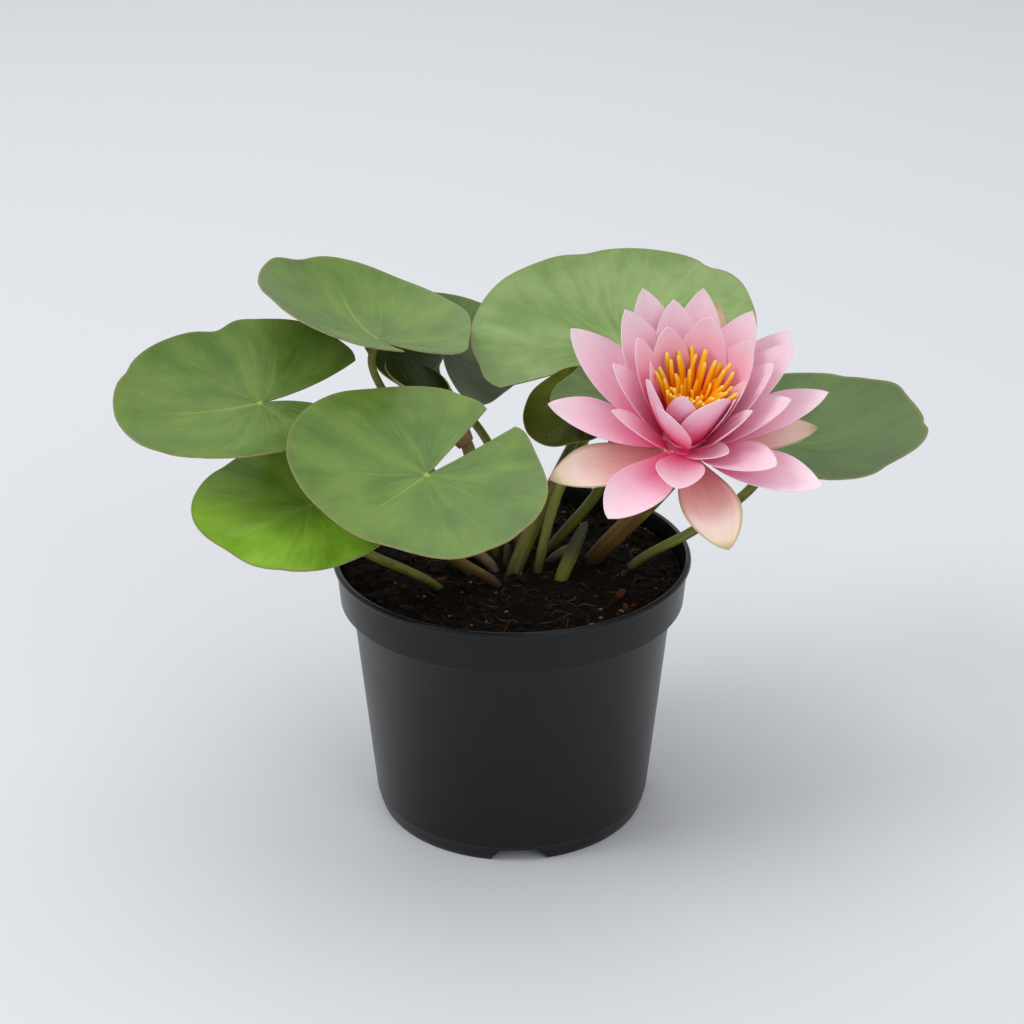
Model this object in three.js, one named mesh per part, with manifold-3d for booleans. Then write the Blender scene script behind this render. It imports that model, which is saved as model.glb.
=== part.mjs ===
// A hardy water lily in bloom, rooted in a round nursery pot.
// Millimetres, +Z up, origin at the centre of the pot's underside.
// The viewer's side is -Y and the bloom leans towards it.
import * as THREE from "three";
import { mergeVertices } from "three/addons/utils/BufferGeometryUtils.js";
import Module from "manifold-3d";

const wasm = await Module();
wasm.setup();

// Pot
const potHeight = 147;
const rimRadius = 95;
const rimWidth = 3;
const collarTopRadius = 93.2;
const collarFootRadius = 91.7;
const collarFoot = 122;
const bodyTopRadius = 85.3;
const bodyFootRadius = 74.6;
const footHeight = 9;
const footRadius = 72.5;
const potWall = 1.9;
const floorUnder = 8;
const floorTop = 10;
const hubRadius = 12;
const potSides = 34;
const notchCount = 4;
const notchTurn = -87;
const notchTopWidth = 20;
const notchFootWidth = 30;
const notchHeight = 7.4;
const drainCount = 8;
const drainRadius = 6;
const drainCircle = 45;

// Soil
const soilEdge = 137;
const soilMiddle = 140;
const soilGap = 0.3;
const soilLumps = 1.6;

// Plant
const bladeThickness = 0.9;
const petalThickness = 0.8;
const bladeRings = 4;
const bladeSpokes = 24;
const stalkFoot = 120;
const stalkSides = 7;
const stalkSteps = 10;
const petalRows = 5;
const touchGap = 0.3;
const holeGap = 0.5;

// Bloom
const bloomBase = [86.5, -30, 219.6];
const bloomTilt = 28;

const rad = THREE.MathUtils.degToRad;

function vec(x, y, z) {
  return new THREE.Vector3(x, y, z);
}

function material(color, roughness, metalness = 0) {
  return new THREE.MeshStandardMaterial({ color, roughness, metalness, side: THREE.DoubleSide });
}

const potBlack = material("#1b1c1f", 0.42);
const soilBrown = material("#1d1511", 0.95);
const leafGreen = material("#5f8a48", 0.5);
const oliveGreen = material("#3f4a12", 0.5);
const stalkGreen = material("#6f7d2c", 0.5);
const stalkBrown = material("#6b4f2a", 0.55);
const bractBrown = material("#5d4a33", 0.7);
const sepalCream = material("#d8bfa6", 0.55);
const petalPink = material("#ee9fbc", 0.5);
const stamenYellow = material("#f5a21c", 0.5);

// Solids for joining and cutting.
function solidOf(geometry) {
  const bare = new THREE.BufferGeometry();
  bare.setAttribute("position", geometry.getAttribute("position"));
  if (geometry.index) bare.setIndex(geometry.index);
  const merged = mergeVertices(bare, 1e-3);
  const corners = Array.from(merged.index.array);
  const kept = [];
  for (let i = 0; i < corners.length; i += 3) {
    const [a, b, c] = corners.slice(i, i + 3);
    if (a !== b && b !== c && c !== a) kept.push(a, b, c);
  }
  return new wasm.Manifold(
    new wasm.Mesh({
      numProp: 3,
      vertProperties: merged.attributes.position.array,
      triVerts: new Uint32Array(kept),
    }),
  );
}

function geometryOf(solid) {
  const mesh = solid.getMesh();
  const geometry = new THREE.BufferGeometry();
  const points = new THREE.BufferAttribute(mesh.vertProperties, mesh.numProp);
  geometry.setAttribute("position", points);
  geometry.setIndex(new THREE.BufferAttribute(mesh.triVerts, 1));
  const flat = geometry.toNonIndexed();
  flat.computeVertexNormals();
  return flat;
}

// One body from parts that run into each other; closed pockets left between them are filled.
function union(geometries) {
  const whole = geometries.map(solidOf).reduce((all, next) => all.add(next));
  return whole.decompose().sort((a, b) => b.volume() - a.volume())[0];
}

// A thin closed sheet over a grid of points, its thickness set along the surface's normal.
function sheet(pointAt, rows, columns, thickness) {
  const step = 1e-3;
  const points = [];
  const corners = [];
  const width = columns + 1;
  const count = (rows + 1) * width;
  for (const side of [0.5, -0.5]) {
    for (let i = 0; i <= rows; i++) {
      for (let j = 0; j <= columns; j++) {
        const u = i / rows;
        const v = j / columns;
        const nearU = THREE.MathUtils.clamp(u, 2 * step, 1 - step);
        const nearV = THREE.MathUtils.clamp(v, step, 1 - step);
        const alongU = pointAt(nearU + step, nearV).sub(pointAt(nearU - step, nearV));
        const alongV = pointAt(nearU, nearV + step).sub(pointAt(nearU, nearV - step));
        const normal = alongU.cross(alongV).normalize();
        const point = pointAt(u, v).addScaledVector(normal, side * thickness);
        points.push(point.x, point.y, point.z);
      }
    }
  }
  const at = (i, j) => i * width + j;
  for (let i = 0; i < rows; i++) {
    for (let j = 0; j < columns; j++) {
      const [a, b, c, d] = [at(i, j), at(i + 1, j), at(i + 1, j + 1), at(i, j + 1)];
      corners.push(a, b, c, a, c, d);
      corners.push(c + count, b + count, a + count, d + count, c + count, a + count);
    }
  }
  const edge = [];
  for (let i = 0; i < rows; i++) edge.push([at(i, 0), at(i + 1, 0)]);
  for (let j = 0; j < columns; j++) edge.push([at(rows, j), at(rows, j + 1)]);
  for (let i = rows; i > 0; i--) edge.push([at(i, columns), at(i - 1, columns)]);
  for (let j = columns; j > 0; j--) edge.push([at(0, j), at(0, j - 1)]);
  for (const [p, q] of edge) {
    corners.push(q, p, p + count, q, p + count, q + count);
  }
  const geometry = new THREE.BufferGeometry();
  geometry.setAttribute("position", new THREE.Float32BufferAttribute(points, 3));
  geometry.setIndex(corners);
  return geometry;
}

// A round stalk along a smooth curve through the given points.
function tube(points, radius, sides = stalkSides, steps = stalkSteps) {
  const section = new THREE.Shape();
  for (let i = 0; i < sides; i++) {
    const turn = (i / sides) * Math.PI * 2;
    const x = radius * Math.cos(turn);
    const y = radius * Math.sin(turn);
    if (i === 0) section.moveTo(x, y);
    else section.lineTo(x, y);
  }
  section.closePath();
  const extrudePath = new THREE.CatmullRomCurve3(points.map((p) => vec(...p)), false, "centripetal");
  return new THREE.ExtrudeGeometry(section, { steps, extrudePath });
}

const plant = new THREE.Group();

function addMesh(parent, name, geometry, look) {
  const mesh = new THREE.Mesh(geometry, look);
  mesh.name = name;
  parent.add(mesh);
  return mesh;
}

// Pot: one moulded shell, with a collar, a rolled lip, a raised floor and a notched foot.
function potSolid() {
  const profile = [
    [0, 0],
    [hubRadius, 0],
    [hubRadius + 1, floorUnder],
    [footRadius - 5, floorUnder],
    [footRadius - 4, 0.6],
    [footRadius - 1, 0],
    [footRadius, 0.6],
    [bodyFootRadius, footHeight],
    [bodyFootRadius + 0.4, footHeight + 0.4],
    [bodyTopRadius, collarFoot - 1],
    [collarFootRadius - 1.2, collarFoot],
    [collarFootRadius, collarFoot + 1.6],
    [collarTopRadius, potHeight - 3.6],
    [rimRadius - 0.6, potHeight - 3],
    [rimRadius, potHeight - 2],
    [rimRadius - 1.1, potHeight],
    [rimRadius - rimWidth + 0.5, potHeight],
    [rimRadius - rimWidth, potHeight - 0.7],
    [collarTopRadius - potWall, potHeight - 4],
    [collarFootRadius - potWall, collarFoot + 2.4],
    [bodyTopRadius - potWall, collarFoot - 2],
    [bodyFootRadius - potWall, floorTop + 2],
    [bodyFootRadius - potWall - 2, floorTop],
    [0, floorTop],
  ];
  const shell = new THREE.LatheGeometry(profile.map(([r, z]) => new THREE.Vector2(r, z)), potSides);
  shell.rotateX(Math.PI / 2);
  let solid = solidOf(shell);
  if (solid.volume() < 0) throw new Error("pot profile is reversed");
  for (let i = 0; i < notchCount; i++) {
    const half = notchTopWidth / 2;
    const foot = notchFootWidth / 2;
    const shape = new THREE.Shape();
    shape.moveTo(-foot, -1);
    shape.lineTo(foot, -1);
    shape.lineTo(foot, 0);
    shape.lineTo(half, notchHeight);
    shape.lineTo(-half, notchHeight);
    shape.lineTo(-foot, 0);
    shape.closePath();
    const notch = new THREE.ExtrudeGeometry(shape, { depth: 16, bevelEnabled: false });
    notch.rotateX(Math.PI / 2);
    notch.translate(0, -(footRadius - 7), 0);
    notch.rotateZ(rad(notchTurn + 90 + (i * 360) / notchCount));
    solid = solid.subtract(solidOf(notch));
  }
  for (let i = 0; i < drainCount; i++) {
    const turn = ((i + 0.5) / drainCount) * Math.PI * 2;
    const hole = new THREE.CylinderGeometry(drainRadius, drainRadius, 12, 12);
    hole.rotateX(Math.PI / 2);
    hole.translate(drainCircle * Math.cos(turn), drainCircle * Math.sin(turn), floorTop - 3);
    solid = solid.subtract(solidOf(hole));
  }
  return solid;
}

addMesh(plant, "pot", geometryOf(potSolid()), potBlack);

// Leaves: round floating-leaf blades, cleft to the stalk. Each is set by its junction with the
// stalk, the compass turn of its tip, its lean to the front and to the right, its outline as
// waves once, twice and three times round with local bumps (turn, height, spread), its bowl,
// slope and saddle, and its cleft.
const leaves = [
  {
    name: "leaf_left",
    junction: [-127.5, -15, 237],
    turn: 200,
    lean: [22, 0],
    radius: 58.5,
    waves: [[0.12, 0.03], [0.12, 0.05], [0.01, -0.03]],
    bumps: [[-92, 0.03, 9], [-76, -0.03, 8]],
    bowl: 0.2,
    slope: [0.11, -3],
    saddle: [-0.14, 0],
    cleft: [3, 32, 17],
    look: leafGreen,
  },
  {
    name: "leaf_front",
    junction: [-41, -75, 223.5],
    turn: 234,
    lean: [14, 3],
    radius: 64.5,
    waves: [[0.04, -0.03], [-0.06, 0.06], [-0.04, -0.02]],
    bumps: [[26, -0.05, 14], [47, 0.02, 9]],
    bowl: 0.12,
    slope: [0, 0],
    saddle: [-0.06, 21],
    cleft: [10, 13, 9],
    look: leafGreen,
  },
  {
    name: "leaf_low_left",
    junction: [-100, -55, 198],
    turn: 206,
    lean: [15.5, -2.5],
    radius: 53,
    waves: [[0.06, -0.08], [0.01, -0.01], [0.01, -0.03]],
    bumps: [[12, -0.07, 22]],
    bowl: 0.03,
    slope: [-0.01, 0],
    saddle: [0, 0],
    cleft: [3, 20, 20],
    look: leafGreen,
  },
  {
    name: "leaf_back_left",
    junction: [-71.5, 45, 250],
    turn: 113,
    lean: [-14.5, 12.5],
    radius: 71,
    waves: [[0.16, 0.1], [0.14, -0.12], [0.02, -0.01]],
    bumps: [[14, -0.06, 10], [-62, 0.05, 12]],
    bowl: 0.2,
    slope: [0.1, -12],
    saddle: [0.06, 69],
    cleft: [3, 11, 21],
    look: leafGreen,
  },
  {
    name: "leaf_back_right",
    junction: [60.5, 80, 233.5],
    turn: 52,
    lean: [17, 7],
    radius: 73.5,
    waves: [[0.04, 0.14], [0.13, -0.06], [0.04, -0.02]],
    bumps: [[57, -0.03, 9], [-6, 0.04, 10]],
    bowl: 0.08,
    slope: [0.08, -17],
    saddle: [-0.08, -15],
    cleft: [3, 19, 36],
    look: leafGreen,
  },
  {
    name: "leaf_right",
    junction: [138.5, 15, 204],
    turn: 4,
    lean: [-2.5, 13.5],
    radius: 64,
    waves: [[0.12, 0.01], [0.04, 0.01], [-0.07, -0.06]],
    bumps: [[-47, -0.1, 10], [26, 0.05, 12], [-142, -0.1, 13]],
    bowl: 0.24,
    slope: [0.11, 31],
    saddle: [-0.11, -84],
    cleft: [3, 35, 18],
    look: leafGreen,
  },
  {
    name: "leaf_rear",
    junction: [-38.5, 95, 225],
    turn: 92,
    lean: [11, 18],
    radius: 53,
    waves: [[0.03, -0.04], [0.1, -0.08], [-0.07, -0.02]],
    bumps: [],
    bowl: 0.01,
    slope: [0, 0],
    saddle: [0.07, 2],
    cleft: [3, 15, 16.5],
    look: leafGreen,
  },
  {
    name: "leaf_shaded",
    junction: [36, 22, 220],
    turn: 150,
    lean: [37, -26.5],
    radius: 28,
    waves: [[0.1, -0.07], [0.13, 0.08], [0, 0]],
    bumps: [],
    bowl: -0.02,
    slope: [0, 0],
    saddle: [0, 0],
    cleft: [16, 25, 34],
    look: oliveGreen,
  },
  {
    name: "leaf_young",
    junction: [48, 12, 230],
    turn: 190,
    lean: [30, -6],
    radius: 25.5,
    waves: [[-0.01, -0.04], [-0.04, -0.04], [0.17, 0.03]],
    bumps: [],
    bowl: 0.05,
    slope: [0, 0],
    saddle: [0, 0],
    cleft: [3, 20, 20],
    look: leafGreen,
  },
];

function leafAxes(turn, [front, right]) {
  const [a, b] = [rad(front), rad(right)];
  const up = vec(Math.sin(b), -Math.sin(a) * Math.cos(b), Math.cos(a) * Math.cos(b));
  const tip = vec(Math.cos(rad(turn)), Math.sin(rad(turn)), 0);
  tip.addScaledVector(up, -tip.dot(up)).normalize();
  return { tip, side: up.clone().cross(tip), up };
}

// A point of the blade in its own axes, s from the junction to the margin and t round it.
function bladePoint(leaf, s, t) {
  const [root, left, right] = leaf.cleft.map(rad);
  const gap = t > 0 ? left : right;
  const phi = t * (Math.PI - (root + (gap - root) * s));
  const full = t * (Math.PI - gap);
  const fromEdge = 1 - Math.abs(t);
  const rounding = fromEdge < 0.05 ? 1 - 0.04 * (1 - fromEdge / 0.05) ** 2 : 1;
  let rim = 1;
  leaf.waves.forEach(([c, d], i) => {
    rim += c * Math.cos((i + 1) * full) + d * Math.sin((i + 1) * full);
  });
  for (const [turn, height, spread] of leaf.bumps) {
    rim += height * Math.exp(-(((full - rad(turn)) / rad(spread)) ** 2));
  }
  const rho = rim * s * rounding;
  const r = leaf.radius * rho;
  const shape =
    leaf.bowl +
    leaf.slope[0] * Math.cos(phi - rad(leaf.slope[1])) +
    leaf.saddle[0] * Math.cos(2 * (phi - rad(leaf.saddle[1])));
  return vec(r * Math.cos(phi), r * Math.sin(phi), leaf.radius * rho * rho * shape);
}

for (const leaf of leaves) {
  const { tip, side, up } = leafAxes(leaf.turn, leaf.lean);
  const small = leaf.radius < 40;
  const blade = sheet(
    (u, v) => bladePoint(leaf, u, v * 2 - 1),
    small ? bladeRings - 1 : bladeRings,
    small ? bladeSpokes - 6 : bladeSpokes,
    bladeThickness,
  );
  const mesh = addMesh(plant, leaf.name, geometryOf(solidOf(blade)), leaf.look);
  mesh.quaternion.setFromRotationMatrix(new THREE.Matrix4().makeBasis(tip, side, up));
  mesh.position.set(...leaf.junction);
  leaf.up = up;
}

// Stalks: each rises from its hole in the soil to just under its blade.
function underBlade(leaf, distance) {
  return vec(...leaf.junction)
    .addScaledVector(leaf.up, -distance)
    .toArray();
}

const leafByName = Object.fromEntries(leaves.map((leaf) => [leaf.name, leaf]));

function stalkPath(root, middle, leaf) {
  const end = bladeThickness / 2 + touchGap;
  const lead = vec(root[0] - middle[0][0], root[1] - middle[0][1], 0).setLength(3);
  return [
    [root[0] + lead.x, root[1] + lead.y, stalkFoot],
    [root[0], root[1], soilMiddle - 2],
    ...middle,
    underBlade(leaf, 14),
    underBlade(leaf, end),
  ];
}

const stalks = [
  {
    name: "stalk_left",
    radius: 2.4,
    path: stalkPath([-22, -12], [[-46, -8, 156], [-92, 5, 190], [-118, 4, 214]], leafByName.leaf_left),
    look: stalkGreen,
  },
  {
    name: "stalk_front",
    radius: 2.6,
    path: stalkPath([-7, -26], [[-28, -37, 160], [-38, -58, 190]], leafByName.leaf_front),
    look: stalkBrown,
  },
  {
    name: "stalk_low_left",
    radius: 2.5,
    path: stalkPath([-36, -32], [[-73, -45, 167]], leafByName.leaf_low_left),
    look: stalkGreen,
  },
  {
    name: "stalk_back_left",
    radius: 2.2,
    path: stalkPath([-20, 7], [[-50, 28, 195]], leafByName.leaf_back_left),
    look: stalkGreen,
  },
  {
    name: "stalk_back_right",
    radius: 4.2,
    path: stalkPath([0, -15], [[28, 28, 184]], leafByName.leaf_back_right),
    look: stalkBrown,
  },
  {
    name: "stalk_right",
    radius: 2.6,
    path: stalkPath([62.5, -4.5], [[97.5, -2, 161], [124, 5, 179]], leafByName.leaf_right),
    look: stalkGreen,
  },
  {
    name: "stalk_rear",
    radius: 2.4,
    path: stalkPath([4, 17], [[-12, 52, 185]], leafByName.leaf_rear),
    look: stalkGreen,
  },
  {
    name: "stalk_shaded",
    radius: 2.6,
    path: stalkPath([13, -12], [[24, 0, 180]], leafByName.leaf_shaded),
    look: stalkGreen,
  },
  {
    name: "stalk_young",
    radius: 2.7,
    path: stalkPath([18, 11], [[48, 17, 178], [53, 14, 212]], leafByName.leaf_young),
    look: stalkBrown,
  },
];

const peduncle = {
  name: "flower_stalk",
  radius: 4.7,
  look: stalkBrown,
};

{
  const axis = vec(0, -Math.sin(rad(bloomTilt)), Math.cos(rad(bloomTilt)));
  const below = (distance) => vec(...bloomBase).addScaledVector(axis, -distance).toArray();
  peduncle.path = [
    [37, 5, stalkFoot],
    [42, 3, soilMiddle - 2],
    [75, -11, 184],
    below(14),
    below(touchGap),
  ];
}
stalks.push(peduncle);

for (const stalk of stalks) {
  addMesh(plant, stalk.name, geometryOf(solidOf(tube(stalk.path, stalk.radius))), stalk.look);
}

// Young leaf still rolled into a funnel, on its own stalk: the sheet laps over itself once.
const funnel = {
  name: "rolled_leaf",
  foot: [-24, 13, 203],
  head: [-49.5, 27, 235.5],
  footRadius: 3.2,
  headRadius: 10.5,
  lap: 1.7,
  turns: 1.1,
  seam: 300,
  slant: 0.38,
  slantTurn: 140,
  stalkRadius: 3.5,
  path: [[-8, 3, stalkFoot], [-9, 4.5, soilMiddle - 2], [-17, 9, 172], [-23.4, 12.6, 202], [-25.6, 14, 205]],
};

function funnelGeometry() {
  const foot = vec(...funnel.foot);
  const axis = vec(...funnel.head).sub(foot);
  const length = axis.length();
  const turnUp = new THREE.Quaternion().setFromUnitVectors(vec(0, 0, 1), axis.normalize());
  const pointAt = (u, v) => {
    const turn = rad(funnel.seam) + v * funnel.turns * Math.PI * 2;
    const spread = funnel.footRadius + (funnel.headRadius - funnel.footRadius) * u ** 0.8;
    const r = spread + funnel.lap * v;
    const rise = u * length * (1 + funnel.slant * Math.cos(turn - rad(funnel.slantTurn)));
    return vec(r * Math.cos(turn), r * Math.sin(turn), rise).applyQuaternion(turnUp).add(foot);
  };
  return sheet(pointAt, 4, 16, bladeThickness);
}

const rolled = solidOf(funnelGeometry()).add(solidOf(tube(funnel.path, funnel.stalkRadius)));
addMesh(plant, funnel.name, geometryOf(rolled), leafGreen);

// Shoots and old bracts at the crown: slender bodies that swell and close to a point.
const shoots = [
  {
    name: "spear_leaf",
    path: [[24, -23, stalkFoot], [25, -21, 138], [31, -17, 153], [39, -12, 170]],
    radius: 3.9,
    swell: 0.68,
    look: oliveGreen,
  },
  {
    name: "small_shoot",
    path: [[-2.5, -4, 124], [-2.6, -3.6, 138], [-2.6, -2.5, 153]],
    radius: 2.6,
    swell: 0.6,
    look: oliveGreen,
  },
  {
    name: "bract_left",
    path: [[-6.5, -11, 126], [-8.5, -9.5, 138], [-16, -5, 146], [-24, -1, 149]],
    radius: 3.1,
    swell: 0.55,
    look: bractBrown,
  },
  {
    name: "bract_right",
    path: [[16, -1.5, 126], [19, -0.5, 139], [26, 0.5, 146], [34, 2, 150]],
    radius: 2.4,
    swell: 0.5,
    look: bractBrown,
  },
];

function shootGeometry(shoot, extra) {
  const steps = 7;
  const curve = new THREE.CatmullRomCurve3(shoot.path.map((p) => vec(...p)), false, "centripetal");
  const frames = curve.computeFrenetFrames(steps, false);
  const rings = [];
  for (let i = 0; i <= steps; i++) {
    const u = i / steps;
    const grow = 0.6 + 0.4 * Math.sin((Math.PI / 2) * Math.min(1, u / shoot.swell));
    const close = Math.cos((Math.PI / 2) * Math.max(0, (u - shoot.swell) / (1 - shoot.swell)));
    const r = Math.max(shoot.radius * grow * close ** 0.6, 0.05) + extra;
    const ring = [];
    for (let j = 0; j < stalkSides; j++) {
      const turn = (j / stalkSides) * Math.PI * 2;
      ring.push(
        curve
          .getPointAt(u)
          .addScaledVector(frames.normals[i], r * Math.cos(turn))
          .addScaledVector(frames.binormals[i], r * Math.sin(turn)),
      );
    }
    rings.push(ring);
  }
  const points = rings.flat();
  points.push(curve.getPointAt(0).addScaledVector(frames.tangents[0], -extra), curve.getPointAt(1));
  const corners = [];
  for (let j = 0; j < stalkSides; j++) {
    const next = (j + 1) % stalkSides;
    for (let i = 0; i < steps; i++) {
      const [a, b] = [i * stalkSides + j, i * stalkSides + next];
      corners.push(a, b, b + stalkSides, a, b + stalkSides, a + stalkSides);
    }
    corners.push(points.length - 2, next, j);
    corners.push(points.length - 1, steps * stalkSides + j, steps * stalkSides + next);
  }
  const flat = points.flatMap((p) => [p.x, p.y, p.z]);
  const geometry = new THREE.BufferGeometry();
  geometry.setAttribute("position", new THREE.Float32BufferAttribute(flat, 3));
  geometry.setIndex(corners);
  return geometry;
}

for (const shoot of shoots) {
  addMesh(plant, shoot.name, geometryOf(solidOf(shootGeometry(shoot, 0))), shoot.look);
}

// Bloom: sepals, then petals in layers, each given as turn round the axis, rise above the flat,
// length and width, and how far it swings aside. Turn 0 is the right and -90 the front.
const bloom = new THREE.Group();
bloom.position.set(...bloomBase);
bloom.rotation.x = rad(bloomTilt);
plant.add(bloom);

const sepals = [
  [-153, 13.4, 67.1, 28],
  [-77.1, 9.4, 65, 29],
  [0, 13.6, 56.3, 22],
  [74, 43, 65.5, 28],
];
const outerPetals = [
  [147, 36.7, 71.8, 29],
  [-121, 20.6, 73.7, 28],
  [-38, 19.3, 71.9, 26],
  [33, 42, 67.9, 27],
  [182, 28.4, 66.2, 25],
  [5, 27.3, 66.1, 23],
  [81, 49, 69.4, 26],
  [113, 51.8, 72.3, 26],
];
const middlePetals = [
  [-98.4, 29.5, 46, 24],
  [-50, 32, 56.2, 24, 4],
  [-84, 41.5, 33.1, 15, 38],
  [22, 45.8, 65.3, 24],
  [50, 52.6, 64.9, 25],
  [130, 55, 65.9, 25],
  [168, 59, 54.5, 19],
  [-143, 51, 50.1, 16, -20],
  [-20, 44.2, 54.7, 21, 14],
  [6, 56.9, 56.9, 21, 6],
  [98, 55, 63, 24],
  [-47, 59.8, 48.8, 16, 20],
];
const innerPetals = [
  [71.7, 63, 56, 25],
  [30, 62, 55.1, 24],
  [110.3, 65, 51.5, 20],
  [148, 67.6, 56.8, 18],
  [-139.4, 76, 33.5, 25],
  [-71.5, 75, 50.4, 24, 8],
  [-33, 73.2, 37.8, 17, 4],
  [168, 76.7, 49.9, 12],
  [-178, 75.1, 43.5, 18],
  [-6, 66, 44.7, 14, 4],
  [-107.2, 82, 45.4, 17],
];

// One petal: a cupped blade that widens from its root and closes to a point.
function petal([turn, rise, length, width, swing = 0], rootHeight, shape) {
  const outward = vec(Math.cos(rad(turn + swing)), Math.sin(rad(turn + swing)), 0);
  const across = vec(-outward.y, outward.x, 0);
  const root = vec(Math.cos(rad(turn)), Math.sin(rad(turn)), 0).multiplyScalar(shape.root);
  const half = rad(shape.bend) / 2;
  const start = rad(rise) - half;
  const bow = length / (2 * Math.sin(half));
  const widest = 0.56;
  const pointAt = (u, v) => {
    const turned = start + 2 * half * u;
    const along = bow * (Math.sin(turned) - Math.sin(start));
    const up = rootHeight - bow * (Math.cos(turned) - Math.cos(start));
    const rising = Math.sin((Math.PI / 2) * Math.min(1, u / widest)) ** 1.1;
    const closing = Math.cos((Math.PI / 2) * Math.max(0, (u - widest) / (1 - widest))) ** shape.closing;
    const reach = Math.max((width / 2) * (shape.neck + (1 - shape.neck) * rising) * closing, 0.7);
    const side = (v * 2 - 1) * reach;
    const lift = (shape.cup * side * side) / (width / 2);
    return root
      .clone()
      .addScaledVector(outward, along - lift * Math.sin(turned))
      .addScaledVector(across, side)
      .add(vec(0, 0, up + lift * Math.cos(turned)));
  };
  return sheet(pointAt, petalRows, width > 22 ? 4 : 2, petalThickness);
}

function hub(radius, foot, top) {
  const disc = new THREE.CylinderGeometry(radius, radius, top - foot, 14);
  disc.rotateX(Math.PI / 2);
  disc.translate(0, 0, (foot + top) / 2);
  return disc;
}

function ring(name, petals, shape, look) {
  const pieces = petals.map((one, i) => petal(one, shape.foot + 1.1 + (i % 3) * 0.2, shape));
  addMesh(bloom, name, geometryOf(union([hub(shape.root + 1.2, shape.foot, shape.top), ...pieces])), look);
}

const sepalShape = { root: 11.2, foot: 0, top: 2.7, bend: 8, cup: 0.28, neck: 0.34, closing: 0.75 };
const outerShape = { root: 10.7, foot: 3, top: 5.4, bend: 14, cup: 0.3, neck: 0.3, closing: 0.75 };
const middleShape = { root: 10.2, foot: 5.8, top: 8.2, bend: 16, cup: 0.34, neck: 0.34, closing: 0.72 };
const innerShape = { root: 8.6, foot: 9.4, top: 11.6, bend: 24, cup: 0.26, neck: 0.38, closing: 0.62 };
ring("sepals", sepals, sepalShape, sepalCream);
ring("petals_outer", outerPetals, outerShape, petalPink);
ring("petals_middle", middlePetals, middleShape, petalPink);
ring("petals_inner", innerPetals, innerShape, petalPink);

// Stamens: flat filaments that stand in circles on the receptacle and bend out to their tips,
// most where the inner petals stand open.
const filamentFoot = 13.3;
const filamentThickness = 1.3;
const openTurn = 65;

function stamen(turn, rise, length, rootRadius, bend) {
  const outward = vec(Math.cos(turn), Math.sin(turn), 0);
  const across = vec(-outward.y, outward.x, 0);
  const start = rad(rise);
  const curl = rad(-bend);
  const pointAt = (u, v) => {
    const turned = start + curl * u;
    const bow = length / curl;
    const along = rootRadius + bow * (Math.sin(turned) - Math.sin(start));
    const up = filamentFoot - bow * (Math.cos(turned) - Math.cos(start));
    const reach = 1.5 - 0.6 * u;
    const side = (v * 2 - 1) * reach;
    return outward.clone().multiplyScalar(along).addScaledVector(across, side).add(vec(0, 0, up));
  };
  return sheet(pointAt, 2, 1, filamentThickness);
}

function stamenRing() {
  const pieces = [hub(8, 12.4, 14.2)];
  const circles = [
    [16, 7, 77, 35, 14],
    [13, 5.6, 80, 32, 15],
    [8, 4, 83, 26, 12],
    [5, 2, 88, 20, 8],
  ];
  circles.forEach(([count, radius, rise, length, bend], k) => {
    for (let i = 0; i < count; i++) {
      const turn = ((i + k * 0.5) / count) * Math.PI * 2;
      const uneven = Math.sin(i * 12.9 + k * 4.1);
      const open = 1.2 * Math.cos(turn - rad(openTurn)) - 0.36;
      const tall = length * (1 + 0.08 * Math.sin(turn) + 0.03 * uneven);
      pieces.push(stamen(turn, rise - 8 * open + 2 * uneven, tall, radius, bend * (1 + 0.45 * open)));
    }
  });
  return union(pieces).translate([0.8, 1.2, 0]);
}

addMesh(bloom, "stamens", geometryOf(stamenRing()), stamenYellow);

// Soil: fills the pot, lumpy on top, with a plain hole for each stalk.
function soilSolid() {
  const wall = potWall + soilGap;
  const profile = [
    [0, floorTop + soilGap],
    [bodyFootRadius - wall - 2.4, floorTop + soilGap],
    [bodyFootRadius - wall - 0.4, floorTop + 2.4],
    [bodyTopRadius - wall - 0.4, collarFoot - 2],
    [collarFootRadius - wall - 0.4, collarFoot + 2.8],
    [collarFootRadius - wall + 0.1, soilEdge],
  ];
  const rings = 6;
  const outer = profile[profile.length - 1][0];
  for (let i = rings - 1; i >= 0; i--) {
    const share = i / rings;
    profile.push([outer * share, soilEdge + (soilMiddle - soilEdge) * (1 - share * share)]);
  }
  const body = new THREE.LatheGeometry(profile.map(([r, z]) => new THREE.Vector2(r, z)), 28);
  body.rotateX(Math.PI / 2);
  const points = body.getAttribute("position");
  for (let i = 0; i < points.count; i++) {
    const [x, y, z] = [points.getX(i), points.getY(i), points.getZ(i)];
    if (z < soilEdge + 0.01 || Math.hypot(x, y) > outer - 1) continue;
    const lump =
      Math.sin(x * 0.21 + 1.3) * Math.cos(y * 0.17 - 0.6) +
      0.6 * Math.sin(x * 0.47 - y * 0.39) +
      0.4 * Math.cos(y * 0.83 + x * 0.31);
    points.setZ(i, z + soilLumps * lump * 0.6);
  }
  return solidOf(body);
}

let soil = soilSolid();
for (const stalk of [...stalks, { path: funnel.path, radius: funnel.stalkRadius }]) {
  const start = stalk.path[0];
  const hole = [[start[0], start[1], start[2] - touchGap], ...stalk.path.slice(1)];
  soil = soil.subtract(solidOf(tube(hole, stalk.radius + holeGap)));
}
for (const shoot of shoots) {
  soil = soil.subtract(solidOf(shootGeometry(shoot, holeGap)));
}
addMesh(plant, "soil", geometryOf(soil), soilBrown);

export default plant;
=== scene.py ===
import math
import random

import bpy
from mathutils import Matrix, Vector, noise


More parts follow.
